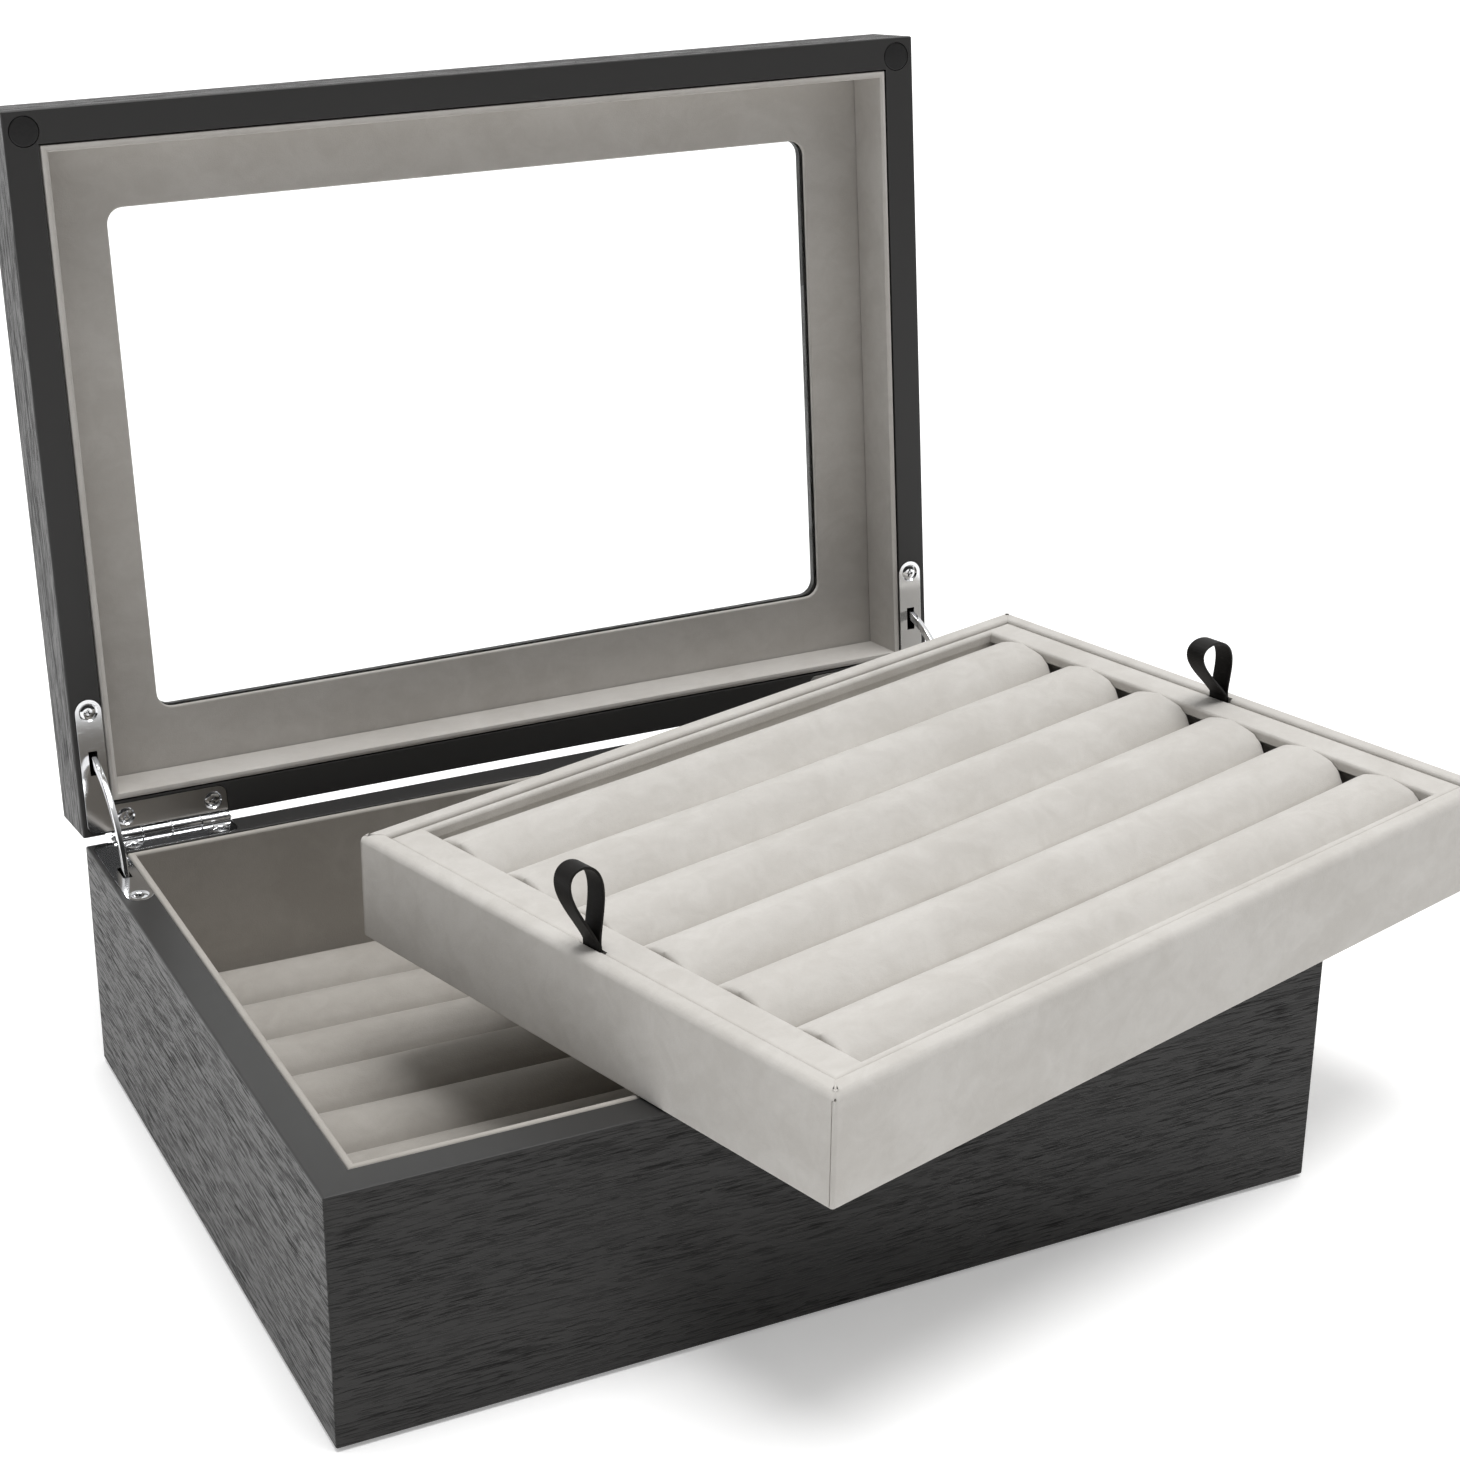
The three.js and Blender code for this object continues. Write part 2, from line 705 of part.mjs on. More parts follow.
function buildTray() {
  const group = new THREE.Group();
  const outer = [lined.length - 2 * TRAY.endRoom, lined.width - 2 * TRAY.sideRoom];
  const inner = outer.map((size) => size - 2 * TRAY.wall);
  const seam = inner[0] / 2 - TOUCH_GAP / 2;
  const foot = LOOP.thick + 0.1; // half the thickness of the two ends laid together
  const tailHole = (side) => {
    const y = LOOP.strap / 2 + TOUCH_GAP;
    const bottom = TRAY.height - LOOP.tail - TOUCH_GAP;
    const x = foot + TOUCH_GAP;
    return mirrored(block(seam - x, seam + x, -y, y, bottom, TRAY.height + 1), side, 1, 1);
  };
  const tailHoles = [tailHole(-1), tailHole(1)];
  const frame = ring(outer, inner, 0, TRAY.height, 0, TRAY.corner);
  add(group, "tray_frame", cut(frame, tailHoles), VELVET());

  const floorX = inner[0] / 2 - TOUCH_GAP;
  const floorY = inner[1] / 2 - TOUCH_GAP;
  const floor = block(-floorX, floorX, -floorY, floorY, TOUCH_GAP, TOUCH_GAP + TRAY.floor);
  add(group, "tray_floor", floor, VELVET());

  const insertBottom = 2 * TOUCH_GAP + TRAY.floor;
  const insertTop = TRAY.height - TRAY.stripDrop;
  const insertOuter = [2 * floorX, 2 * floorY];
  const insertInner = [
    insertOuter[0] - 2 * TRAY.endStrip,
    insertOuter[1] - 2 * TRAY.sideStrip,
  ];
  const insertRing = ring(insertOuter, insertInner, insertBottom, insertTop);
  add(group, "tray_insert", cut(insertRing, tailHoles), VELVET());

  const pitch = (insertInner[1] - TRAY_ROLL.gap) / TRAY_ROLL.count;
  const rollWidth = pitch - TRAY_ROLL.gap;
  const rollLength = insertInner[0] - 2 * TOUCH_GAP;
  for (let i = 0; i < TRAY_ROLL.count; i += 1) {
    const top = TRAY.height + TRAY_ROLL.proud;
    const shape = roll(rollLength, rollWidth, insertBottom, top, TRAY_ROLL.crown);
    const y = insertInner[1] / 2 - TRAY_ROLL.gap / 2 - pitch * (i + 0.5);
    add(group, `tray_roll_${i + 1}`, shape, VELVET()).position.y = y;
  }

  for (const [side, word] of [[-1, "left"], [1, "right"]]) {
    const loop = add(group, `tray_loop_${word}`, pullLoop(LOOP[word], foot), STRAP());
    loop.position.set(side * seam, 0, TRAY.height);
  }
  group.position.set(TRAY.x, TRAY.y, CASE.height + TOUCH_GAP);
  group.rotation.z = radians(TRAY.turn);
  return group;
}

// ---- Assembly ----------------------------------------------------------------------------------

const caseGroup = buildCase();
for (const [side, word] of [[-1, "left"], [1, "right"]]) {
  addHingeHalf(caseGroup, "base", side, word, -1);
  const rod = rodAlongX(
    HINGE.pinRadius,
    barrelEnd - 0.6,
    barrelEnd + barrelLength + 0.6,
    0,
    0,
  );
  add(caseGroup, `hinge_pin_${word}`, onBox(rod, side, -1), CHROME());
}
box.add(caseGroup);

const lidGroup = buildLid();
for (const piece of lidGroup.children) {
  piece.geometry.translate(0, -pin.y, -pin.z);
}
lidGroup.position.set(0, pin.y, pin.z);
lidGroup.rotation.x = -radians(LID.openAngle);
box.add(lidGroup);

for (const [side, word] of [[-1, "left"], [1, "right"]]) {
  const strip = mirrored(stay(), side, 1, 1);
  add(box, `stay_${word}`, strip, CHROME()).position.set(0, pin.y, pin.z);
}

box.add(buildTray());

export default box;
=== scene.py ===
import json
import math

import bmesh
import bpy
from mathutils import Matrix, Vector, noise


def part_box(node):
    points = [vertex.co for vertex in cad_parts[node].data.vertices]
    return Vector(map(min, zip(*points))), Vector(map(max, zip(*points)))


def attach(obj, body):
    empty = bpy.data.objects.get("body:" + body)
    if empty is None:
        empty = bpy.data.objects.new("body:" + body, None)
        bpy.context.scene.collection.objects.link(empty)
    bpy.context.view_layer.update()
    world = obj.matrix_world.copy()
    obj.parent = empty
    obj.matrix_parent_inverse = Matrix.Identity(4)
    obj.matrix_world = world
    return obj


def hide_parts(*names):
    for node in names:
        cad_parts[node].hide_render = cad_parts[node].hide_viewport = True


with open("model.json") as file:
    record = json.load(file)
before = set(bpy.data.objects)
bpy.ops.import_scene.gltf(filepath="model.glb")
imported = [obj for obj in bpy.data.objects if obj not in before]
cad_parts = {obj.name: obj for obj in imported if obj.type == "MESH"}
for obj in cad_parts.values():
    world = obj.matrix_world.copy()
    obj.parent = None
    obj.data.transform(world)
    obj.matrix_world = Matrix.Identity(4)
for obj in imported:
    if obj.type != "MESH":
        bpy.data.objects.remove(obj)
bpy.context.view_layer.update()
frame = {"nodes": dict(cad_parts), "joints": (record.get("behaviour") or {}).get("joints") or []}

# A low jewellery box in dark stained oak. Its glazed lid stands open on two stay hinges, and
# its lift-out ring tray lies turned across the rim. Pieces are drawn in millimetres, either
# as the box stands, or as the lid lies when it is shut, or about the tray's own middle.

MM = 0.001
NO_TURN = Matrix.Identity(4)

# ---- Sizes -------------------------------------------------------------------------------

TRAY_TURN = math.radians(15.7)
ARRIS = 0.6  # rounding of the veneered outer edges
INNER_ARRIS = 0.3
TOUCH = 0.3  # between pieces that touch

HINGE = {
    "arm": 8.2,  # width of the arm along the side wall
    "arm_in": 1.7,  # from the outer side face to that arm
    "tip": 41.0,  # from the pin to the side screw
    "back": 8.25,  # width of the arm along the back wall
    "reach": 46.3,  # from the outer side face to the end of the back arm
    "thick": 1.2,
    "corner": 3.0,
    "barrel": 1.9,
    "bore": 1.1,
    "pin": 0.8,
    "knuckles": 4,
    "knuckle_gap": 0.3,
    "slot": (20.9, 28.6, 2.8),  # from the pin to its two ends, and its width
    "lift": 0.3,  # from the pin to the face of the leaf
    "screw_line": 6.2,  # from the pin to the two screws of the back arm
    "corner_screw": 13.8,  # from the outer side face
    "end_screw": 41.7,  # from the outer side face
}
SCREW = {"head": 2.4, "shank": 1.0, "length": 8.0, "sink": 0.2, "countersink": 2.9}
STAY = {"arc": 36.1, "centre": 11.4, "strip": 3.0, "thick": 1.6, "half_angle": 38.6}
STAY_POCKET = {"inner": 20.7, "outer": 29.1, "width": 3.2}
POCKET_SWEEP = {"case": 68, "lid": 48}  # degrees round the pin, into each rim
CARD = 2.2  # under the velvet of both linings
WINDOW = {"margin": 32, "corner": 5}  # margin from the lid's outer edge
TRAY = {
    "wall": 6,
    "end_strip": 11.3,
    "side_strip": 2.7,
    "overhang": (5.0, 0.4),  # of the end strips and of the side strips, past what they stand on
    "lip": 3.4,  # depth of that overhang
}
LOOPS = {
    "left": {"rise": 25.2, "half": 5.3, "lean": 6.0},
    "right": {"rise": 20.6, "half": 6.8, "lean": 9.0},
}
STRAP = {"width": 6.4, "thick": 0.8, "in_from_end": 6.15, "tail": 8}
SLACK = 0.5  # left round a roll's foam before the velvet swells
SWELL = 0.7  # the most that a roll's velvet may move

# ---- Places taken from the frame ---------------------------------------------------------

lid_joint = next(j for j in frame["joints"] if j["name"] == "lid_hinge")
PIN = Vector(lid_joint["pos_m"])
LID_SWING = math.radians(lid_joint["range_deg"][1])
LID_OPEN = (
    Matrix.Translation(PIN) @ Matrix.Rotation(-LID_SWING, 4, "X") @ Matrix.Translation(-PIN)
)
tray_low, tray_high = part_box("tray_frame")
tray_middle = (tray_low + tray_high) / 2
TRAY_PLACE = Matrix.Translation(
    (tray_middle.x, tray_middle.y, tray_low.z)
) @ Matrix.Rotation(TRAY_TURN, 4, "Z")


class Box:
    """The room that a CAD node takes, in millimetres, in the frame it is drawn in."""

    def __init__(self, node, place=NO_TURN):
        back = place.inverted()
        points = [back @ v.co / MM for v in frame["nodes"][node].data.vertices]
        self.low = Vector([min(p[i] for p in points) for i in range(3)])
        self.high = Vector([max(p[i] for p in points) for i in range(3)])
        self.size = self.high - self.low
        self.middle = (self.high + self.low) / 2


front_wall = Box("base_front_panel")
right_wall = Box("base_right_panel")
CASE = (2 * right_wall.high.x, -2 * front_wall.low.y)
WALL = front_wall.size.y
RIM = front_wall.high.z
pin_mm = PIN / MM
ARM_X = CASE[0] / 2 - HINGE["arm_in"] - HINGE["arm"] / 2
BARREL_START = CASE[0] / 2 - HINGE["reach"]
BARREL_END = ARM_X - HINGE["slot"][2] / 2 - 1.7
BARREL_ROOM = HINGE["barrel"] + TOUCH
SCREW_SPOTS = {
    "side": (ARM_X, -HINGE["tip"]),
    "corner": (CASE[0] / 2 - HINGE["corner_screw"], -HINGE["screw_line"]),
    "back": (CASE[0] / 2 - HINGE["end_screw"], -HINGE["screw_line"]),
}
INSIDE = [size - 2 * WALL for size in CASE]
TRAY_ROOM = Box("tray_frame", TRAY_PLACE)
SIDES = {"left": -1, "right": 1}

# ---- Making meshes -----------------------------------------------------------------------


def outline(bm, length, width, z, radius=0.0, segments=6):
    """A rectangle of edges about the middle, at one height, with rounded corners or sharp ones."""
    corners = [(-1, -1), (1, -1), (1, 1), (-1, 1)]
    verts = [bm.verts.new((x * length / 2, y * width / 2, z)) for x, y in corners]
    if radius == 0:
        return [bm.edges.new((verts[i], verts[(i + 1) % 4])) for i in range(4)]
    earlier = set(bm.faces)
    bm.faces.new(verts)
    round_corners(bm, verts, radius, segments)
    face = next(f for f in bm.faces if f not in earlier)
    edges = list(face.edges)
    bmesh.ops.delete(bm, geom=[face], context="FACES_ONLY")
    return edges


def round_corners(bm, verts, radius, segments):
    bmesh.ops.bevel(
        bm,
        geom=verts,
        offset=radius,
        offset_type="OFFSET",
        segments=segments,
        profile=0.5,
        affect="VERTICES",
        material=-1,
    )


def soften(bm, edges, radius, segments=3):
    """Rounds edges over."""
    bmesh.ops.bevel(
        bm,
        geom=edges,
        offset=radius,
        offset_type="OFFSET",
        segments=segments,
        profile=0.5,
        affect="EDGES",
        material=-1,
        clamp_overlap=True,
    )


def tidy(bm):
    bmesh.ops.remove_doubles(bm, verts=bm.verts, dist=1e-4)
    bmesh.ops.recalc_face_normals(bm, faces=bm.faces)
    return bm


def shell(*outlines):
    """A closed ring through a round of outlines, each (length, width, height, corner radius)."""
    bm = bmesh.new()
    spread = 10  # holds the outlines apart while they are joined
    loops = []
    for i, (length, width, z, radius) in enumerate(outlines):
        loops.append(outline(bm, length, width, spread * i, radius))
    members = [{v for e in loop for v in e.verts} for loop in loops]
    for here, ahead in zip(loops, loops[1:] + loops[:1]):
        bmesh.ops.bridge_loops(bm, edges=here + ahead)
    for i, verts in enumerate(members):
        bmesh.ops.translate(bm, vec=(0, 0, outlines[i][2] - spread * i), verts=list(verts))
    return tidy(bm)


def pick(bm, *tests):
    """The arrises whose two ends both pass every test. Edges within a flat face are left out."""
    arrises = [e for e in bm.edges if e.calc_face_angle(0) > 0.1]
    return [e for e in arrises if all(t(v.co) for t in tests for v in e.verts)]


def at(axis, value, spare=0.01):
    return lambda p: abs(abs(p[axis]) - value) < spare


def on_outline(size, spare=0.01):
    """Passes points on the four upright sides of a box of that length and width."""
    return lambda p: any(abs(abs(p[i]) - size[i] / 2) < spare for i in (0, 1))


def within(size, spare=0.01):
    return lambda p: all(abs(p[i]) < size[i] / 2 + spare for i in (0, 1))


def slab(points, low, high, radii=()):
    """A flat plate of that outline. radii gives the corners to round, by their place in points."""
    bm = bmesh.new()
    verts = [bm.verts.new((x, y, low)) for x, y in points]
    bm.faces.new(verts)
    for i, radius in radii:
        round_corners(bm, [verts[i]], radius, 8)
    bmesh.ops.remove_doubles(bm, verts=bm.verts, dist=1e-3)
    raised = bmesh.ops.extrude_face_region(bm, geom=bm.faces[:])
    top = [g for g in raised["geom"] if isinstance(g, bmesh.types.BMVert)]
    bmesh.ops.translate(bm, verts=top, vec=(0, 0, high - low))
    return tidy(bm)


def block(low, high):
    bm = bmesh.new()
    bmesh.ops.create_cube(bm, size=1)
    size = Vector(high) - Vector(low)
    bmesh.ops.scale(bm, vec=size, verts=bm.verts)
    bmesh.ops.translate(bm, vec=(Vector(low) + Vector(high)) / 2, verts=bm.verts)
    return bm


def turned(profile, x, y, z, steps=32):
    """A profile of (radius, depth) turned about an upright axis at (x, y), from height z."""
    bm = bmesh.new()
    verts = [bm.verts.new((r, 0, h)) for r, h in profile]
    edges = [bm.edges.new(pair) for pair in zip(verts, verts[1:])]
    bmesh.ops.spin(
        bm,
        geom=verts + edges,
        cent=(0, 0, 0),
        axis=(0, 0, 1),
        angle=2 * math.pi,
        steps=steps,
        use_merge=True,
    )
    bmesh.ops.translate(bm, vec=(x, y, z), verts=bm.verts)
    return tidy(bm)


def rod(radius, start, end, y=0.0, z=0.0, steps=28, rounding=0.0):
    """A round rod along X."""
    bm = bmesh.new()
    bmesh.ops.create_cone(
        bm, cap_ends=True, segments=steps, radius1=radius, radius2=radius, depth=end - start
    )
    lying = Matrix.Rotation(math.pi / 2, 3, "Y")
    bmesh.ops.rotate(bm, cent=(0, 0, 0), matrix=lying, verts=bm.verts)
    bmesh.ops.translate(bm, vec=((start + end) / 2, y, z), verts=bm.verts)
    if rounding:
        rims = [e for e in bm.edges if len({round(v.co.x, 4) for v in e.verts}) == 1]
        soften(bm, rims, rounding, 3)
    return bm


def as_object(bm, name, place=NO_TURN):
    mesh = bpy.data.meshes.new(name)
    bm.transform(place @ Matrix.Scale(MM, 4))
    if place.determinant() < 0:
        bmesh.ops.reverse_faces(bm, faces=bm.faces)
    bm.to_mesh(mesh)
    bm.free()
    thing = bpy.data.objects.new(name, mesh)
    bpy.context.scene.collection.objects.link(thing)
    return thing


def settle(thing):
    """Applies the object's modifiers to its mesh."""
    bpy.context.view_layer.update()
    seen = thing.evaluated_get(bpy.context.evaluated_depsgraph_get())
    mesh = bpy.data.meshes.new_from_object(seen)
    thing.modifiers.clear()
    thing.data = mesh
    mesh.name = thing.name


def combine(thing, tools, operation="DIFFERENCE"):
    """Cuts tools away from a thing, or joins them to it, and clears the tools away."""
    for tool in tools:
        step = thing.modifiers.new("step", "BOOLEAN")
        step.operation = operation
        step.solver = "MANIFOLD"
        step.object = tool
    settle(thing)
    for tool in tools:
        bpy.data.objects.remove(tool)
    return thing


def coat(thing, material):
    thing.data.materials.clear()
    thing.data.materials.append(material)


def dress(thing, material, body, nodes=(), crease=35):
    """Gives a finished piece its material, its smooth shading and its place in the frame."""
    coat(thing, material)
    thing.data.shade_smooth()
    thing.data.set_sharp_from_angle(angle=math.radians(crease))
    if crease < 180:
        flats = thing.modifiers.new("flats", "WEIGHTED_NORMAL")
        flats.keep_sharp = True
        flats.weight = 100
    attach(thing, body)
    if nodes:
        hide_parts(*nodes)
    return thing


# ---- Shader building ---------------------------------------------------------------------


class Value:
    """A shader socket that can be written with in ordinary arithmetic."""

    def __init__(self, finish, socket):
        self.finish = finish
        self.socket = socket

    def maths(self, operation, *others, swap=False):
        terms = [self, *others]
        if swap:
            terms.reverse()
        return self.finish.node("Math", {"operation": operation}, dict(enumerate(terms)))

    def __add__(self, other):
        return self.maths("ADD", other)

    def __mul__(self, other):
        return self.maths("MULTIPLY", other)

    def __sub__(self, other):
        return self.maths("SUBTRACT", other)

    def __rsub__(self, other):
        return self.maths("SUBTRACT", other, swap=True)

    def __gt__(self, other):
        return self.maths("GREATER_THAN", other)

    __radd__ = __add__
    __rmul__ = __mul__

    def size(self):
        return self.maths("ABSOLUTE")

    def part(self, name):
        """One component of a vector."""
        split = self.finish.node("SeparateXYZ", {}, {0: self}, "X")
        return Value(self.finish, split.socket.node.outputs[name])


class Finish:
    """A material, and the one way its nodes are added."""

    def __init__(self, name):
        self.material = bpy.data.materials.new(name)
        self.material.use_nodes = True
        self.nodes = self.material.node_tree.nodes
        self.links = self.material.node_tree.links
        self.nodes.clear()
        self.shader = self.nodes.new("ShaderNodeBsdfPrincipled")
        out = self.nodes.new("ShaderNodeOutputMaterial")
        self.links.new(self.shader.outputs[0], out.inputs[0])

    def feed(self, socket, value):
        if isinstance(value, Value):
            self.links.new(value.socket, socket)
        else:
            socket.default_value = value

    def node(self, kind, settings, inputs, output=0):
        made = self.nodes.new("ShaderNode" + kind)
        for key, value in settings.items():
            if key == "stops":
                ramp = made.color_ramp
                while len(ramp.elements) < len(value):
                    ramp.elements.new(0.5)
                for element, (place, shade) in zip(ramp.elements, value):
                    element.position = place
                    element.color = (shade, shade, shade, 1)
            else:
                setattr(made, key, value)
        for key, value in inputs.items():
            self.feed(made.inputs[key], value)
        return Value(self, made.outputs[output])

    def place(self, centre=(0, 0, 0), turn=(0, 0, 0)):
        """Object coordinates in metres, taken back to a frame that was moved and turned."""
        here = self.node("TexCoord", {}, {}, "Object")
        return self.node(
            "Mapping",
            {"vector_type": "TEXTURE"},
            {"Vector": here, "Location": centre, "Rotation": turn},
        )

    def stretched(self, vector, scale):
        return self.node(
            "VectorMath", {"operation": "MULTIPLY"}, {0: vector, 1: scale}
        )

    def speckle(self, vector, scale, detail=2.0, roughness=0.5, distortion=0.0):
        return self.node(
            "TexNoise",
            {"noise_dimensions": "3D"},
            {
                "Vector": vector,
                "Scale": scale,
                "Detail": detail,
                "Roughness": roughness,
                "Distortion": distortion,
            },
            "Fac",
        )

    def ramp(self, value, *stops):
        return self.node("ValToRGB", {"stops": stops}, {0: value}, "Color")

    def blend(self, share, first, second):
        """From one colour to another."""
        made = self.nodes.new("ShaderNodeMix")
        made.data_type = "RGBA"
        self.feed(made.inputs[0], share)
        self.feed(made.inputs[6], first)
        self.feed(made.inputs[7], second)
        return Value(self, made.outputs[2])

    def bump(self, height, strength, distance):
        return self.node(
            "Bump", {}, {"Height": height, "Strength": strength, "Distance": distance}, "Normal"
        )

    def surface(self, **inputs):
        for key, value in inputs.items():
            self.feed(self.shader.inputs[key.replace("_", " ")], value)
        return self.material


# ---- Finishes ----------------------------------------------------------------------------


def oak(name, turn, low, high):
    """Dark stained open-pored oak veneer. The grain runs along each wall, and the rim is smooth,
    with a lighter colour that is a painted reflection.
    low and high are the heights of the rim and of the outer face, from the pin."""
    f = Finish(name)
    p = f.place(PIN, (turn, 0, 0))
    x, y, z = p.part("X"), p.part("Y"), p.part("Z")
    middle_y = y + PIN.y
    on_side = (x.size() - middle_y.size()) > (CASE[0] - CASE[1]) / 2 * MM
    on_rim = 1 - ((z - low * MM).size() > 0.0005)
    if high > low:
        on_top = z > (high - 0.4) * MM
        on_side = on_side * (1 - on_top)
    along = x + on_side * (y - x)
    across = y + on_side * (x - y)
    grain = f.node("CombineXYZ", {}, {"X": along, "Y": across, "Z": z}, "Vector")
    drift = f.speckle(f.stretched(grain, (7, 24, 24)), 1.0, 2.0)
    flow = f.node(
        "CombineXYZ",
        {},
        {"X": along, "Y": across + drift * 0.007, "Z": z + drift * 0.007},
        "Vector",
    )

    def streaks(scale, detail, roughness, *stops):
        return f.ramp(f.speckle(f.stretched(flow, scale), 1.0, detail, roughness), *stops)

    fine = streaks((120, 1900, 1900), 2.0, 0.6, (0.51, 0), (0.58, 1))
    long = streaks((46, 900, 900), 2.0, 0.6, (0.53, 0), (0.62, 1))
    clump = streaks((20, 150, 150), 3.0, 0.6, (0.30, 0.45), (0.58, 1))
    bands = streaks((4, 52, 52), 3.0, 0.55, (0.32, 0), (0.68, 1))
    open_pore = (fine * 0.60 + long * 0.40) * clump * (1 - on_rim)
    stain = f.blend(bands, (0.0130, 0.0121, 0.0114, 1), (0.0215, 0.0202, 0.0190, 1))
    colour = f.blend(open_pore * 0.9, stain, (0.0050, 0.0047, 0.0044, 1))
    # The rim's lighter colour is a painted reflection, not a colour of the wood.
    colour = f.blend(on_rim, colour, (0.0380, 0.0372, 0.0366, 1))
    return f.surface(
        Base_Color=colour,
        Roughness=0.34 + 0.5 * open_pore + 0.06 * bands - 0.02 * on_rim,
        Specular_IOR_Level=0.32,
        Normal=f.bump(1 - open_pore, 0.7, 0.00018),
    )


def velvet(name, centre, turn, tone):
    """Short greige pile, brushed here and there so that it lies lighter or darker."""
    f = Finish(name)
    p = f.place(centre, turn)
    brushed = f.speckle(f.stretched(p, (26, 34, 34)), 1.0, 3.0, 0.6, 0.8)
    smudged = f.speckle(f.stretched(p, (95, 120, 120)), 1.0, 3.0, 0.6, 1.2)
    nap = f.ramp(brushed * 0.6 + 0.4 * smudged, (0.40, 0), (0.60, 1))
    fibre = f.speckle(p, 2400, 2.0, 0.65)
    tuft = f.speckle(p, 620, 3.0, 0.6)
    # The scale passed in for each copy of this one velvet is painted light and shade.
    deep = tuple(c * t for c, t in zip((0.548, 0.528, 0.500), tone)) + (1,)
    pale = tuple(c * t for c, t in zip((0.612, 0.594, 0.568), tone)) + (1,)
    root = tuple(0.66 * c for c in deep[:3]) + (1,)
    lie = f.blend(nap, deep, pale)
    colour = f.blend(fibre * 0.16 + 0.14 * tuft, lie, root)
    return f.surface(
        Base_Color=colour,
        Roughness=0.90 + 0.08 * fibre,
        Specular_IOR_Level=0.15,
        Sheen_Weight=0.30,
        Sheen_Roughness=0.45,
        Sheen_Tint=(1.0, 0.985, 0.96, 1),
        Normal=f.bump(fibre + 0.7 * tuft, 0.45, 0.00016),
    )


def chrome():
    f = Finish("polished_chrome")
    p = f.place()
    haze = f.speckle(p, 90, 3.0, 0.6)
    scratch = f.speckle(f.stretched(p, (300, 2600, 2600)), 1.0, 2.0)
    return f.surface(
        Base_Color=f.blend(haze, (0.70, 0.71, 0.72, 1), (0.80, 0.80, 0.81, 1)),
        Metallic=1.0,
        Roughness=0.07 + 0.07 * haze + 0.05 * f.ramp(scratch, (0.58, 0), (0.68, 1)),
        Normal=f.bump(haze, 0.05, 0.0001),
    )


def satin_ribbon():
    f = Finish("black_satin_ribbon")
    p = f.place(TRAY_PLACE.translation, (0, 0, TRAY_TURN))
    ribs = f.node(
        "TexWave",
        {"wave_type": "BANDS", "bands_direction": "Z"},
        {"Vector": p, "Scale": 480.0, "Distortion": 0.3},
        "Fac",
    )
    wear = f.speckle(p, 160, 3.0)
    return f.surface(
        Base_Color=f.blend(wear, (0.0040, 0.0034, 0.0029, 1), (0.0085, 0.0072, 0.0062, 1)),
        Roughness=0.52 + 0.12 * wear,
        Specular_IOR_Level=0.22,
        Normal=f.bump(ribs, 0.18, 0.0001),
    )


def clear_glass():
    f = Finish("clear_glass")
    p = f.place()
    smear = f.speckle(p, 18, 3.0)
    return f.surface(
        Base_Color=(0.97, 0.985, 0.98, 1),
        Roughness=0.004 * smear,
        Transmission_Weight=1.0,
        IOR=1.46,
    )


def dark_felt():
    f = Finish("dark_felt")
    p = f.place()
    fibre = f.speckle(f.stretched(p, (900, 1500, 1200)), 1.0, 3.0, 0.7, 1.0)
    return f.surface(
        Base_Color=f.blend(fibre, (0.012, 0.012, 0.012, 1), (0.045, 0.043, 0.041, 1)),
        Roughness=0.97,
        Sheen_Weight=0.2,
        Normal=f.bump(fibre, 0.8, 0.0004),
    )


def board():
    f = Finish("bottom_board")
    p = f.place()
    grain = f.speckle(f.stretched(p, (14, 240, 240)), 1.0, 3.0)
    return f.surface(
        Base_Color=f.blend(grain, (0.030, 0.026, 0.022, 1), (0.060, 0.053, 0.046, 1)),
        Roughness=0.75,
        Normal=f.bump(grain, 0.3, 0.0001),
    )


def magnet_black():
    f = Finish("black_magnet")
    p = f.place()
    grit = f.speckle(p, 1400, 2.0)
    return f.surface(
        Base_Color=f.blend(grit, (0.010, 0.010, 0.010, 1), (0.022, 0.021, 0.021, 1)),
        Metallic=0.3,
        Roughness=0.36 + 0.1 * grit,
        Normal=f.bump(grit, 0.2, 0.00005),
    )


lid_bottom = Box("lid_front_rail", LID_OPEN)
LID_RIM = lid_bottom.low.z
LID_TOP = lid_bottom.high.z
CASE_OAK = oak("stained_oak_case", 0.0, RIM - pin_mm.z, RIM - pin_mm.z - 1)
LID_OAK = oak("stained_oak_lid", -LID_SWING, LID_RIM - pin_mm.z, LID_TOP - pin_mm.z)
# One velvet in three copies, whose tones are painted light and shade: the case's copy is darker
# and warmer, painted shade inside the box, and the lid's copy is a little darker than the tray's.
CASE_VELVET = velvet("velvet_case", (0, 0, 0), (0, 0, 0), (0.73, 0.712, 0.688))
LID_VELVET = velvet("velvet_lid", PIN, (-LID_SWING, 0, 0), (0.94, 0.93, 0.92))
TRAY_VELVET = velvet(
    "velvet_tray", TRAY_PLACE.translation, (0, 0, TRAY_TURN), (1.06, 1.055, 1.045)
)
CHROME = chrome()
RIBBON = satin_ribbon()
GLASS = clear_glass()
FELT = dark_felt()
BOARD = board()
MAGNET = magnet_black()

# ---- Hinge cuts in the wood --------------------------------------------------------------
# Drawn at the right-hand hinge from the pin: z runs into the wood of the rim.


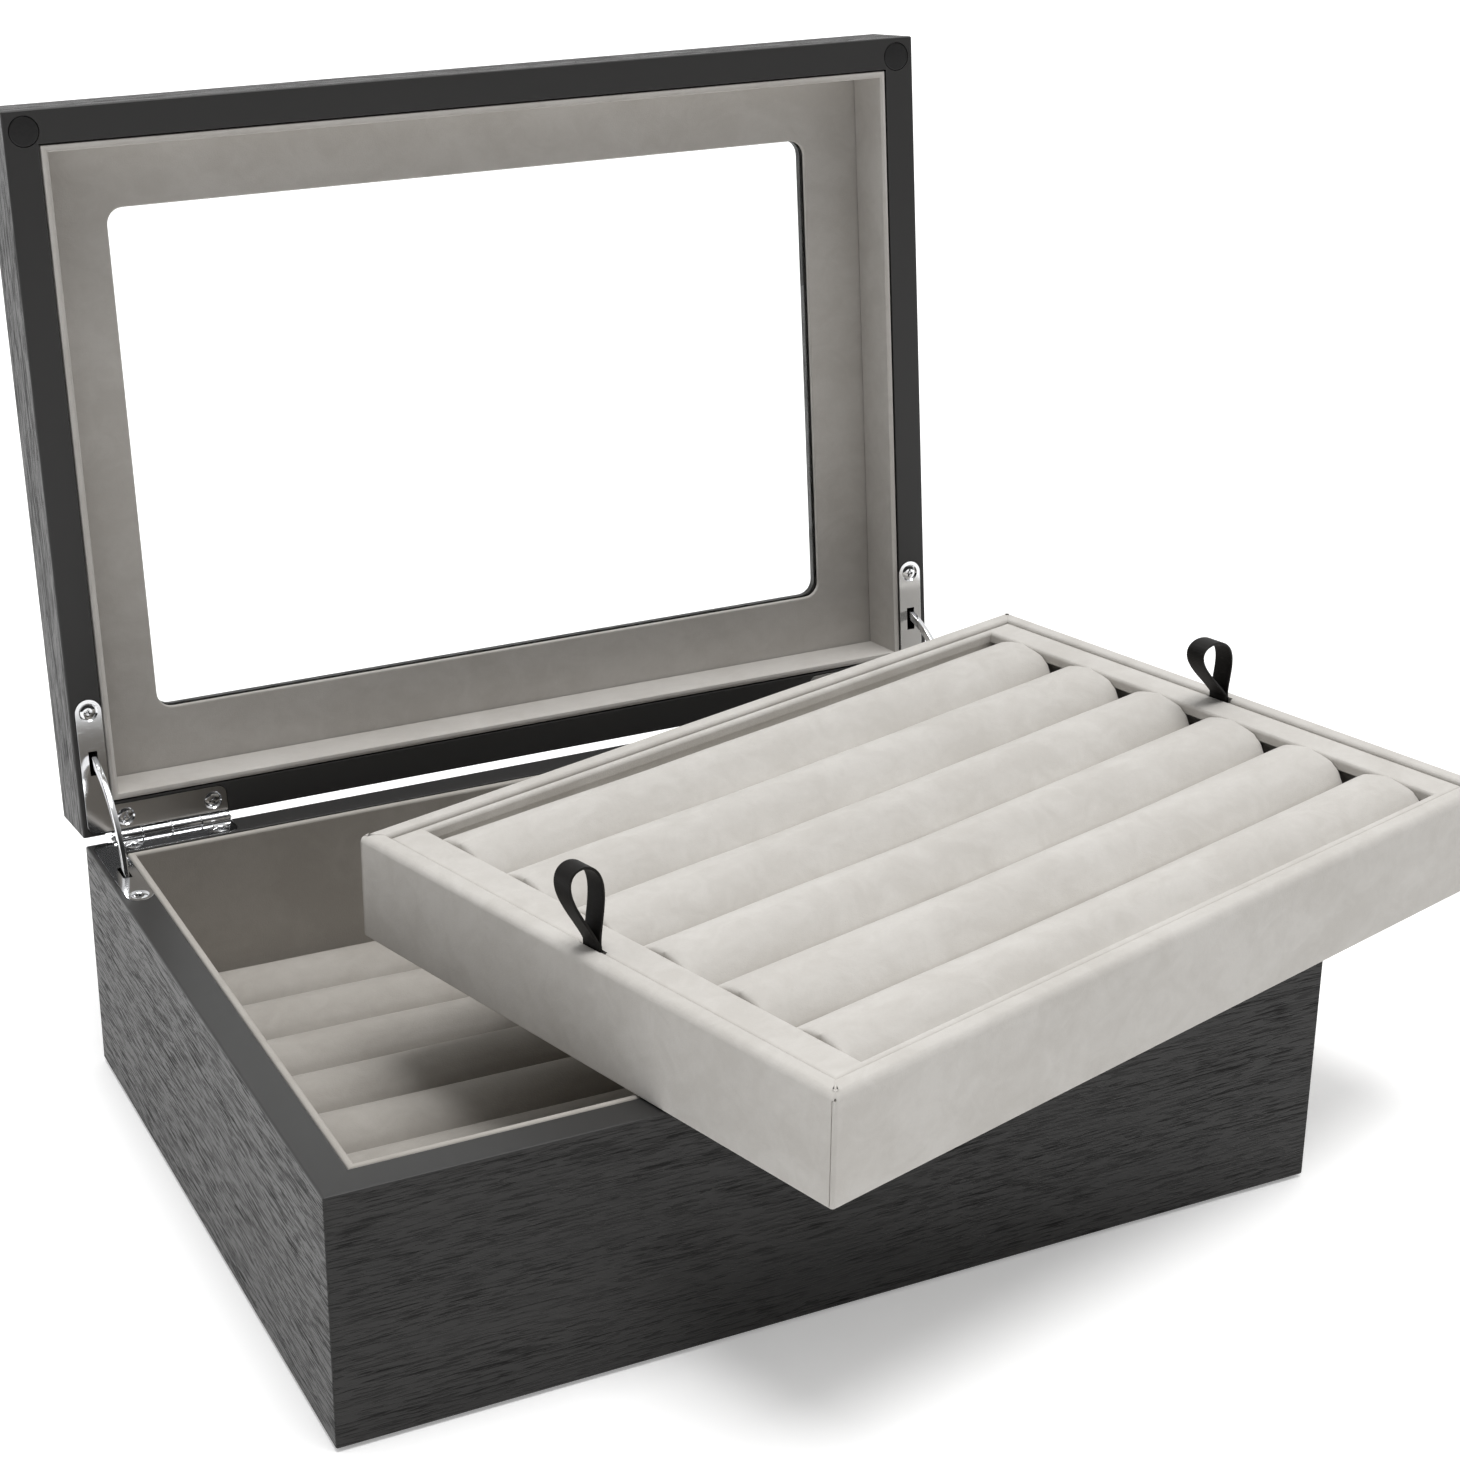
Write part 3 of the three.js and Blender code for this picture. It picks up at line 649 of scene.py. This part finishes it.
def leaf_points(grow):
    outer = ARM_X + HINGE["arm"] / 2 + grow
    inner = ARM_X - HINGE["arm"] / 2 - grow
    end = BARREL_START - grow
    back = -BARREL_ROOM + grow
    front = -BARREL_ROOM - HINGE["back"] - grow
    tip = -HINGE["tip"] - HINGE["arm"] / 2 - grow
    points = [
        (end, back),
        (end, front),
        (inner, front),
        (inner, tip),
        (outer, tip),
        (outer, back),
    ]
    arm = HINGE["arm"] / 2 + grow
    corner = HINGE["corner"] + grow
    radii = [(1, corner), (2, 1.2), (3, arm * 0.999), (4, arm * 0.999), (5, corner)]
    return points, radii


def hinge_place(side, up):
    return Matrix.Translation(PIN) @ Matrix.Diagonal((side, 1, up, 1))


def pilot(x, y):
    head, narrow = SCREW["head"] + TOUCH, SCREW["shank"] + TOUCH
    depth = head - narrow
    top = HINGE["lift"] + SCREW["sink"]
    profile = [
        (0, -2),
        (head, -2),
        (head, 0),
        (narrow, depth),
        (narrow, SCREW["length"] + TOUCH),
        (0, SCREW["length"] + TOUCH),
    ]
    return turned(profile, x, y, top, 20)


def stay_pocket(depth_angle):
    """The curved slot that a stay slides in."""
    bm = bmesh.new()
    half = STAY_POCKET["width"] / 2
    corners = [(-half, "inner"), (half, "inner"), (half, "outer"), (-half, "outer")]
    verts = [bm.verts.new((ARM_X + x, -STAY_POCKET[r], 0)) for x, r in corners]
    bm.faces.new(verts)
    lead = 0.05  # radians that the slot starts above the rim
    bmesh.ops.rotate(bm, cent=(0, 0, 0), matrix=Matrix.Rotation(lead, 3, "X"), verts=verts)
    bmesh.ops.spin(
        bm,
        geom=bm.faces[:],
        cent=(0, 0, 0),
        axis=(1, 0, 0),
        angle=-lead - depth_angle,
        steps=20,
    )
    return tidy(bm)


def hinge_cuts(up, depth_angle):
    tools = []
    deep = HINGE["lift"] + HINGE["thick"] + TOUCH
    for side in SIDES.values():
        points, radii = leaf_points(0.2)
        shapes = [
            slab(points, -2, deep, radii),
            rod(BARREL_ROOM, BARREL_START - TOUCH, BARREL_END + 2),
            block((BARREL_START - TOUCH, -BARREL_ROOM - 1.2, -2), (BARREL_END + 2, 3, deep)),
            stay_pocket(depth_angle),
        ]
        shapes += [pilot(x, y) for x, y in SCREW_SPOTS.values()]
        tools += [as_object(bm, "tool", hinge_place(side, up)) for bm in shapes]
    return tools


# ---- Case --------------------------------------------------------------------------------


def make_case():
    low, high = front_wall.low.z, RIM
    bm = shell((*CASE, low, 0), (*CASE, high, 0), (*INSIDE, high, 0), (*INSIDE, low, 0))
    soften(bm, pick(bm, on_outline(CASE)), ARRIS, 4)
    soften(bm, pick(bm, on_outline(INSIDE), at(2, high)), INNER_ARRIS, 2)
    cuts = hinge_cuts(-1, math.radians(POCKET_SWEEP["case"]))
    case = combine(as_object(tidy(bm), "oak_case"), cuts)
    walls = [f"base_{w}_panel" for w in ("front", "back", "left", "right")]
    dress(case, CASE_OAK, "case", walls)
    coat(frame["nodes"]["base_bottom_board"], BOARD)
    coat(frame["nodes"]["base_felt"], FELT)


def card_ring(room, soft_low, soft_high):
    """A velvet-covered card standing round the inside of four walls."""
    outer = (room.size.x, room.size.y)
    inner = (outer[0] - 2 * CARD, outer[1] - 2 * CARD)
    low, high = room.low.z, room.high.z
    bm = shell((*outer, low, 0), (*outer, high, 0), (*inner, high, 0), (*inner, low, 0))
    soften(bm, pick(bm, at(2, high)), soft_high, 4)
    soften(bm, pick(bm, at(2, low)), soft_low, 2)
    return tidy(bm)


def make_case_lining():
    lining = as_object(card_ring(Box("base_lining"), 0.3, 0.9), "velvet_case_lining")
    dress(lining, CASE_VELVET, "case", ["base_lining"])
    for side in SIDES:
        rest = f"tray_rest_{side}"
        soft_board(rest, f"velvet_{rest}", NO_TURN, CASE_VELVET, "case", 1.2)
    soft_board("base_roll_board", "velvet_roll_board", NO_TURN, CASE_VELVET, "case", 0.5)


def soft_board(node, name, place, material, body, radius):
    """A card wrapped in velvet, in the room of a CAD board."""
    room = Box(node, place)
    bm = block(room.low, room.high)
    bmesh.ops.translate(bm, vec=-room.middle, verts=bm.verts)
    soften(bm, bm.edges[:], radius, 3)
    bmesh.ops.translate(bm, vec=room.middle, verts=bm.verts)
    return dress(as_object(tidy(bm), name, place), material, body, [node])


# ---- Lid ---------------------------------------------------------------------------------


def make_lid():
    panel = Box("lid_top_panel", LID_OPEN)
    pane = Box("lid_glass", LID_OPEN)
    mat = Box("lid_window_mat", LID_OPEN)
    window = [size - 2 * WINDOW["margin"] for size in CASE]
    corner = WINDOW["corner"]
    rebate = (pane.size.x + 2 * TOUCH, pane.size.y + 2 * TOUCH)
    rebate_top = pane.high.z + TOUCH
    bm = shell(
        (*CASE, LID_RIM, 0),
        (*CASE, LID_TOP, 0),
        (*window, LID_TOP, corner),
        (*window, rebate_top, corner),
        (*rebate, rebate_top, 0),
        (*rebate, panel.low.z, 0),
        (*INSIDE, panel.low.z, 0),
        (*INSIDE, LID_RIM, 0),
    )
    soften(bm, pick(bm, on_outline(CASE)), ARRIS, 4)
    soften(bm, pick(bm, within(window), at(2, LID_TOP)), 0.8, 3)
    soften(bm, pick(bm, within(INSIDE), at(2, LID_RIM)), INNER_ARRIS, 2)
    magnets = [Box(f"lid_magnet_{side}", LID_OPEN) for side in SIDES]
    # Cut while shut, then swung open with the rest of the lid.
    lid = as_object(tidy(bm), "oak_lid")
    cuts = hinge_cuts(1, math.radians(POCKET_SWEEP["lid"]))
    for spot in magnets:
        wide = (spot.size.x + TOUCH) / 2
        deep = spot.size.z + TOUCH
        hole = turned([(0, -2), (wide, -2), (wide, deep), (0, deep)], *spot.middle.xy, spot.low.z)
        cuts.append(as_object(hole, "tool"))
    combine(lid, cuts)
    lid.data.transform(LID_OPEN)
    rails = [f"lid_{w}_rail" for w in ("front", "back", "left", "right")]
    dress(lid, LID_OAK, "lid", [*rails, "lid_top_panel"])

    sheet = shell(
        (mat.size.x, mat.size.y, mat.low.z, 0),
        (mat.size.x, mat.size.y, mat.high.z, 0),
        (*window, mat.high.z, corner),
        (*window, mat.low.z, corner),
    )
    soften(sheet, pick(sheet, within(window), at(2, mat.low.z)), 0.6, 3)
    mat_piece = as_object(tidy(sheet), "velvet_window_mat", LID_OPEN)
    dress(mat_piece, LID_VELVET, "lid", ["lid_window_mat"])

    ring = card_ring(Box("lid_lining", LID_OPEN), 0.9, 0.3)
    lining = as_object(ring, "velvet_lid_lining", LID_OPEN)
    dress(lining, LID_VELVET, "lid", ["lid_lining"])

    coat(frame["nodes"]["lid_glass"], GLASS)
    for side, spot in zip(SIDES, magnets):
        wide, thick = spot.size.x / 2, spot.size.z
        disc = [(0, 0), (wide, 0), (wide, thick), (0, thick)]
        bm = turned(disc, *spot.middle.xy, spot.low.z, 36)
        rims = [e for e in bm.edges if e.calc_face_angle(0) > 1]
        soften(bm, rims, 0.35, 3)
        piece = as_object(tidy(bm), f"magnet_{side}", LID_OPEN)
        dress(piece, MAGNET, "lid", [f"lid_magnet_{side}"])


# ---- Hinges, screws and stays ------------------------------------------------------------


HINGE_BODY = {"base": "case", "lid": "lid"}
HARD_CREASE = 28  # degrees


def knuckles(first):
    pitch = (BARREL_END - BARREL_START + HINGE["knuckle_gap"]) / HINGE["knuckles"]
    starts = [BARREL_START + i * pitch for i in range(first, HINGE["knuckles"], 2)]
    return [(start, start + pitch - HINGE["knuckle_gap"]) for start in starts]


def make_leaf(owner, side, up, place):
    low, high = HINGE["lift"], HINGE["lift"] + HINGE["thick"]
    points, radii = leaf_points(0)
    plate = slab(points, low, high, radii)
    soften(plate, pick(plate, at(2, low)), 0.25, 2)
    leaf = as_object(tidy(plate), f"hinge_leaf_{owner}_{side}")
    joins = []
    for start, end in knuckles(0 if up < 0 else 1):
        joins.append(as_object(rod(HINGE["barrel"], start, end, rounding=0.2), "tool"))
        web = block((start + 0.25, -BARREL_ROOM - 1.0, low + 0.01), (end - 0.25, 0, high - 0.01))
        joins.append(as_object(web, "tool"))
    combine(leaf, joins, "UNION")
    near, far, width = HINGE["slot"]
    slot = block((ARM_X - width / 2, -far, low - 2), (ARM_X + width / 2, -near, high + 2))
    narrow = SCREW["countersink"] - HINGE["thick"]
    sink = [
        (0, -1.5),
        (SCREW["countersink"], -1.5),
        (SCREW["countersink"], 0),
        (narrow, HINGE["thick"]),
        (narrow, 4),
        (0, 4),
    ]
    cuts = [slot, rod(HINGE["bore"], BARREL_START - 1, BARREL_END + 1)]
    cuts += [turned(sink, x, y, low, 36) for x, y in SCREW_SPOTS.values()]
    combine(leaf, [as_object(bm, "tool") for bm in cuts])
    leaf.data.transform(place @ hinge_place(SIDES[side], up))
    if SIDES[side] * up < 0:
        leaf.data.flip_normals()
    dress(leaf, CHROME, HINGE_BODY[owner], [f"{owner}_hinge_leaf_{side}"], HARD_CREASE)


def screw_form():
    """A countersunk screw with a shallow domed head and a cross recess, from its head down."""
    head, shank, length = SCREW["head"], SCREW["shank"], SCREW["length"]
    profile = [
        (0, 0.02),
        (head * 0.55, 0.03),
        (head * 0.88, 0.12),
        (head, 0.28),
        (shank, head - shank + 0.1),
        (shank, length - 2),
        (0.4, length),
        (0, length),
    ]
    body = as_object(turned(profile, 0, 0, 0, 36), "screw")
    long, narrow, deep = 1.35, 0.36, 0.75
    bars = [
        block((-long, -narrow, -1), (long, narrow, deep)),
        block((-narrow, -long, -1), (narrow, long, deep)),
    ]
    well = [(0, -1), (0.75, -1), (0.75, 0.3), (0.2, 1.3), (0, 1.3)]
    cuts = [as_object(bm, "tool") for bm in bars]
    cuts.append(as_object(turned(well, 0, 0, 0, 20), "tool"))
    return combine(body, cuts)


def make_screws(owner, side, up, place, form):
    for i, (spot, (x, y)) in enumerate(SCREW_SPOTS.items()):
        mesh = form.data.copy()
        twist = Matrix.Rotation(0.35 + 1.1 * i + 0.5 * up + SIDES[side], 4, "Z")
        drop = Matrix.Translation(Vector((x, y, HINGE["lift"] + SCREW["sink"])) * MM)
        mesh.transform(place @ hinge_place(SIDES[side], up) @ drop @ twist)
        if SIDES[side] * up < 0:
            mesh.flip_normals()
        screw = bpy.data.objects.new(f"screw_{owner}_{side}_{spot}", mesh)
        bpy.context.scene.collection.objects.link(screw)
        node = f"{owner}_screw_{side}_{spot}"
        dress(screw, CHROME, HINGE_BODY[owner], [node], HARD_CREASE)


def make_stay(side):
    """A flat strip bent to an arc, standing between the two rims."""
    half = STAY["thick"] / 2
    outer, inner = STAY["arc"], STAY["arc"] - STAY["strip"]
    bm = bmesh.new()
    verts = [
        bm.verts.new((x, y, 0))
        for x, y in ((-half, inner), (half, inner), (half, outer), (-half, outer))
    ]
    bm.faces.new(verts)
    round_corners(bm, verts, 0.35, 2)
    bmesh.ops.rotate(
        bm,
        cent=(0, 0, 0),
        matrix=Matrix.Rotation(-math.radians(STAY["half_angle"]), 3, "X"),
        verts=bm.verts,
    )
    bmesh.ops.spin(
        bm,
        geom=bm.faces[:],
        cent=(0, 0, 0),
        axis=(1, 0, 0),
        angle=2 * math.radians(STAY["half_angle"]),
        steps=40,
    )
    tidy(bm)
    # The arc's own middle points to +Y here, and to the middle of the lid's opening when placed.
    middle = math.pi - LID_SWING / 2
    bmesh.ops.translate(bm, vec=(0, -STAY["centre"], 0), verts=bm.verts)
    bmesh.ops.rotate(bm, cent=(0, 0, 0), matrix=Matrix.Rotation(middle, 3, "X"), verts=bm.verts)
    bmesh.ops.translate(bm, vec=(SIDES[side] * ARM_X, 0, 0), verts=bm.verts)
    stay = as_object(bm, f"chrome_stay_{side}", Matrix.Translation(PIN))
    dress(stay, CHROME, f"{side}_stay", [f"stay_{side}"])


def make_hardware():
    form = screw_form()
    for side in SIDES:
        make_leaf("base", side, -1, NO_TURN)
        make_leaf("lid", side, 1, LID_OPEN)
        make_screws("base", side, -1, NO_TURN, form)
        make_screws("lid", side, 1, LID_OPEN, form)
        make_stay(side)
        pin = rod(HINGE["pin"], BARREL_START - 0.6, BARREL_END + 0.6, rounding=0.25)
        piece = as_object(pin, f"hinge_pin_rod_{side}", hinge_place(SIDES[side], 1))
        dress(piece, CHROME, "case", [f"hinge_pin_{side}"])
    bpy.data.objects.remove(form)


# ---- Padded rolls ------------------------------------------------------------------------


VOXEL = 2.2
CLOTH_FRAMES = 20
TUCK = 1.012  # stretches a roll so that its ends lie flat against what they meet


def roll_form(room, crown):
    """A padded roll along X on z 0: upright sides, and a full crown over its foam."""
    length, width, height = room.size.x, room.size.y - SLACK, room.size.z - SLACK
    shoulder = height - crown
    r = width / 2 * 0.99
    bm = block((-length / 2, -width / 2, 0), (length / 2, width / 2, shoulder + r))
    ridge = pick(bm, at(2, shoulder + r))
    soften(bm, [e for e in ridge if abs(e.verts[0].co.x - e.verts[1].co.x) > 1], r, 12)
    for v in bm.verts:
        if v.co.z > shoulder:
            v.co.z = shoulder + crown * ((v.co.z - shoulder) / r) ** 0.92
    roll = as_object(tidy(bm), "roll")
    remesh = roll.modifiers.new("even", "REMESH")
    remesh.mode = "VOXEL"
    remesh.voxel_size = VOXEL * MM
    settle(roll)
    blow_up(roll)
    return roll


def blow_up(roll):
    """Lets the roll's velvet swell over its foam, by no more than SWELL."""
    scene = bpy.context.scene
    before = [v.co.copy() for v in roll.data.vertices]
    cloth = roll.modifiers.new("swell", "CLOTH")
    cloth.settings.use_pressure = True
    cloth.settings.uniform_pressure_force = 4
    cloth.settings.effector_weights.gravity = 0
    cloth.settings.quality = 6
    cloth.point_cache.frame_start = 1
    cloth.point_cache.frame_end = CLOTH_FRAMES
    for step in range(1, CLOTH_FRAMES + 1):
        scene.frame_set(step)
    settle(roll)
    scene.frame_set(1)
    for v, rest in zip(roll.data.vertices, before):
        move = v.co - rest
        v.co = rest + move * min(1.0, SWELL * MM / max(move.length, 1e-9))


def kept_in_slot(mesh, room, pitch, y, number):
    """Sets a roll down in its slot, gently uneven in its own way."""
    across, along = pitch / 2 - 0.06, room.size.x / 2
    for v in mesh.vertices:
        p = v.co / MM
        p.x *= TUCK if number % 2 == 0 else -TUCK
        wobble = noise.noise(Vector((p.x / 45 + 7.3 * number, p.y / 30, p.z / 30)))
        lift = 0.35 * wobble * max(0.0, p.z / room.size.z)
        p.z = min(max(p.z + lift, 0.0), room.size.z + SLACK)
        p.y = min(max(p.y, -across), across)
        p.x = min(max(p.x, -along), along)
        v.co = (p + Vector((0, y, room.low.z))) * MM
    if number % 2:
        mesh.flip_normals()


def lay_rolls(node, count, crown, place, material, body, name):
    """Copies a roll along Y, from the back to the front."""
    room, following = Box(f"{node}_1", place), Box(f"{node}_2", place)
    pitch = room.middle.y - following.middle.y
    form = roll_form(room, crown)
    for i in range(count):
        mesh = form.data.copy()
        kept_in_slot(mesh, room, pitch, room.middle.y - pitch * i, i)
        mesh.transform(place)
        roll = bpy.data.objects.new(f"{name}_{i + 1}", mesh)
        bpy.context.scene.collection.objects.link(roll)
        smooth = roll.modifiers.new("smooth", "SUBSURF")
        smooth.levels = 1
        smooth.render_levels = 1
        dress(roll, material, body, [f"{node}_{i + 1}"], 180)
    bpy.data.objects.remove(form)


# ---- Tray --------------------------------------------------------------------------------


def tray_tails():
    """The slits that the two pull loops go down into."""
    tools = []
    half, reach, above = 1.3, 4.2, 60
    for side, way in SIDES.items():
        seam = way * (TRAY_ROOM.high.x - STRAP["in_from_end"])
        bottom = Box(f"tray_loop_{side}", TRAY_PLACE).low.z - TOUCH
        slit = block((seam - half, -reach, bottom), (seam + half, reach, above))
        tools.append(as_object(slit, "tool"))
    return tools


def fold_grooves(x, y, spot):
    """The edge of the velvet folded in at a corner: along the top, then down over the edge."""
    grooves = []
    level = Matrix.Rotation(math.atan2(y, x), 3, "Z")
    for reach, slope in ((-9, 0.0), (4, -0.62)):
        fold = rod(0.34, min(0, reach), max(0, reach), steps=10)
        turn = level @ Matrix.Rotation(-slope, 3, "Y")
        bmesh.ops.rotate(fold, cent=(0, 0, 0), matrix=turn, verts=fold.verts)
        bmesh.ops.translate(fold, vec=spot, verts=fold.verts)
        grooves.append(as_object(fold, "tool"))
    return grooves


def make_tray_frame():
    outer = (TRAY_ROOM.size.x, TRAY_ROOM.size.y)
    inner = (outer[0] - 2 * TRAY["wall"], outer[1] - 2 * TRAY["wall"])
    low, high = TRAY_ROOM.low.z, TRAY_ROOM.high.z
    bm = shell((*outer, low, 1.2), (*outer, high, 1.2), (*inner, high, 0), (*inner, low, 0))
    near_outside = lambda p: not within(inner, 1)(p)
    soften(bm, pick(bm, near_outside, at(2, high)), 2.4, 5)
    soften(bm, pick(bm, near_outside, at(2, low)), 0.7, 3)
    soften(bm, pick(bm, within(inner), at(2, high)), 1.3, 4)
    tray = as_object(tidy(bm), "velvet_tray_frame")
    cuts = tray_tails()
    in_from_edge, groove_lift = 2.4, 0.12
    seam_in, seam_deep, seam_wide = 1.1, 0.45, 0.14
    for x in (-1, 1):
        for y in (-1, 1):
            spot = (x * (outer[0] / 2 - in_from_edge), y * (outer[1] / 2 - in_from_edge))
            cuts += fold_grooves(x, y, Vector((*spot, high + groove_lift)))
            seam_x, seam_y = x * outer[0] / 2, y * (outer[1] / 2 - seam_in)
            seam = block(
                (seam_x - seam_deep, seam_y - seam_wide, low - 1),
                (seam_x + seam_deep, seam_y + seam_wide, high - 2),
            )
            cuts.append(as_object(seam, "tool"))
    combine(tray, cuts)
    tray.data.transform(TRAY_PLACE)
    dress(tray, TRAY_VELVET, "tray", ["tray_frame"])


def make_tray_insert():
    room = Box("tray_insert", TRAY_PLACE)
    outer = (room.size.x, room.size.y)
    inner = (outer[0] - 2 * TRAY["end_strip"], outer[1] - 2 * TRAY["side_strip"])
    low, high = room.low.z, room.high.z
    # Its padded strips overhang the wall that stands under them.
    under = [size + 2 * over for size, over in zip(inner, TRAY["overhang"])]
    lip = high - TRAY["lip"]
    bm = shell(
        (*outer, low, 0),
        (*outer, high, 0),
        (*inner, high, 0),
        (*inner, lip, 0),
        (*under, lip, 0),
        (*under, low, 0),
    )
    soften(bm, pick(bm, at(2, high)), 1.3, 4)
    insert = combine(as_object(tidy(bm), "velvet_tray_insert"), tray_tails())
    insert.data.transform(TRAY_PLACE)
    dress(insert, TRAY_VELVET, "tray", ["tray_insert"])
    soft_board("tray_floor", "velvet_tray_floor", TRAY_PLACE, TRAY_VELVET, "tray", 0.5)


def make_loop(side):
    """A satin ribbon folded over, its two ends going down between the frame and the insert."""
    size, strap = LOOPS[side], STRAP["width"]
    seam = SIDES[side] * (TRAY_ROOM.high.x - STRAP["in_from_end"])

    def drop(t):
        z = size["rise"] * (1 - math.cos(t)) / 2
        widest = 0.6495  # of sin(t) * sin(t / 2) ** 2
        swing = size["half"] / widest * math.sin(t) * math.sin(t / 2) ** 2
        return Vector((swing - size["lean"] * z / size["rise"], 0, z))

    steps = 48
    start = 0.16 * math.pi
    round_trip = [start + (2 * math.pi - 2 * start) * i / steps for i in range(steps + 1)]
    tail = [Vector((0.5, 0, -STRAP["tail"])), Vector((0.5, 0, -3))]
    other_tail = [Vector((-p.x, 0, p.z)) for p in reversed(tail)]
    centre = tail + [drop(t) for t in round_trip] + other_tail
    bm = bmesh.new()
    verts = [bm.verts.new(c + Vector((0, -strap / 2, 0))) for c in centre]
    edges = [bm.edges.new(pair) for pair in zip(verts, verts[1:])]
    wide = bmesh.ops.extrude_edge_only(bm, edges=edges)
    moved = [g for g in wide["geom"] if isinstance(g, bmesh.types.BMVert)]
    bmesh.ops.translate(bm, vec=(0, strap, 0), verts=moved)
    bmesh.ops.recalc_face_normals(bm, faces=bm.faces)
    place = TRAY_PLACE @ Matrix.Translation(Vector((seam, 0, TRAY_ROOM.high.z)) * MM)
    loop = as_object(bm, f"ribbon_pull_{side}", place)
    body = loop.modifiers.new("thickness", "SOLIDIFY")
    body.thickness = STRAP["thick"] * MM
    body.offset = 0
    settle(loop)
    edge = loop.modifiers.new("edge", "BEVEL")
    edge.width = 0.18 * MM
    edge.segments = 2
    edge.limit_method = "ANGLE"
    edge.angle_limit = math.radians(50)
    settle(loop)
    dress(loop, RIBBON, "tray", [f"tray_loop_{side}"], 40)


# ---- Studio ------------------------------------------------------------------------------


def make_floor():
    bm = bmesh.new()
    bmesh.ops.create_grid(bm, x_segments=1, y_segments=1, size=4000)
    floor = as_object(bm, "studio_floor")
    f = Finish("pale_floor")
    grain = f.speckle(f.place(), 6, 2.0)
    f.surface(
        Base_Color=f.blend(grain, (0.88, 0.88, 0.88, 1), (0.90, 0.90, 0.90, 1)),
        Emission_Color=(1, 1, 1, 1),
        Emission_Strength=0.30,
        Roughness=0.7,
        Specular_IOR_Level=0.2,
    )
    floor.data.materials.append(f.material)


def soft_sun(name, azimuth, elevation, strength, spread):
    """Even light from one side of the sky, with soft-edged shadows."""
    data = bpy.data.lights.new(name, "SUN")
    data.energy = strength
    data.angle = math.radians(spread)
    lamp = bpy.data.objects.new(name, data)
    bpy.context.scene.collection.objects.link(lamp)
    a, e = math.radians(azimuth), math.radians(elevation)
    towards = Vector((math.sin(a) * math.cos(e), -math.cos(a) * math.cos(e), math.sin(e)))
    lamp.rotation_mode = "QUATERNION"
    lamp.rotation_quaternion = (-towards).to_track_quat("-Z", "Y")
    return lamp


def make_studio():
    """A white sweep behind and on the left, darker in front, with a soft light overhead."""
    scene = bpy.context.scene
    scene.view_settings.view_transform = "Standard"
    world = bpy.data.worlds.new("studio")
    scene.world = world
    world.use_nodes = True
    nodes, links = world.node_tree.nodes, world.node_tree.links
    nodes.clear()

    def add(kind, values, **settings):
        made = nodes.new("ShaderNode" + kind)
        for key, value in settings.items():
            setattr(made, key, value)
        for key, value in values.items():
            if isinstance(value, bpy.types.NodeSocket):
                links.new(value, made.inputs[key])
            else:
                made.inputs[key].default_value = value
        return made

    sky = add("TexCoord", {})
    lean = add(
        "VectorMath",
        {0: sky.outputs["Generated"], 1: (0.22, 0.72, 0.60)},
        operation="DOT_PRODUCT",
    )
    fade = add(
        "MapRange",
        {0: lean.outputs["Value"], 1: -0.24, 2: 0.64, 3: 0.03, 4: 0.92},
        interpolation_type="SMOOTHSTEP",
    )
    lit = add("Background", {"Color": (1, 1, 1, 1), "Strength": fade.outputs[0]})
    seen = add("Background", {"Color": (1, 1, 1, 1), "Strength": 1.1})
    rays = add("LightPath", {})
    direct = add(
        "Math",
        {0: rays.outputs["Is Camera Ray"], 1: rays.outputs["Is Transmission Ray"]},
        operation="MAXIMUM",
    )
    mix = add("MixShader", {0: direct.outputs[0], 1: lit.outputs[0], 2: seen.outputs[0]})
    out = nodes.new("ShaderNodeOutputWorld")
    links.new(mix.outputs[0], out.inputs[0])
    soft_sun("overhead", 20, 85, 2.0, 30)


def make_camera():
    """Looks down on the box from the front left."""
    azimuth, elevation, roll = (math.radians(a) for a in (-25.361, 22.591, -0.107))
    data = bpy.data.cameras.new("camera")
    data.sensor_width = 36
    data.lens = 69.27
    data.shift_x = 0.0538
    data.shift_y = -0.0172
    data.clip_start, data.clip_end = 0.01, 20
    camera = bpy.data.objects.new("camera", data)
    bpy.context.scene.collection.objects.link(camera)
    back = Vector(
        (
            math.sin(azimuth) * math.cos(elevation),
            -math.cos(azimuth) * math.cos(elevation),
            math.sin(elevation),
        )
    )
    camera.location = Vector((-327.11, -669.96, 446.44)) * MM
    camera.rotation_mode = "QUATERNION"
    turn = (-back).to_track_quat("-Z", "Y")
    camera.rotation_quaternion = turn @ Matrix.Rotation(roll, 3, "Z").to_quaternion()
    bpy.context.scene.camera = camera


# ---- Assembly ----------------------------------------------------------------------------

make_camera()
make_case()
make_case_lining()
lay_rolls("base_roll", 8, 11.0, NO_TURN, CASE_VELVET, "case", "case_roll")
make_lid()
make_hardware()
make_tray_frame()
make_tray_insert()
lay_rolls("tray_roll", 6, 10.5, TRAY_PLACE, TRAY_VELVET, "tray", "ring_roll")
for loop_side in SIDES:
    make_loop(loop_side)
make_floor()
make_studio()
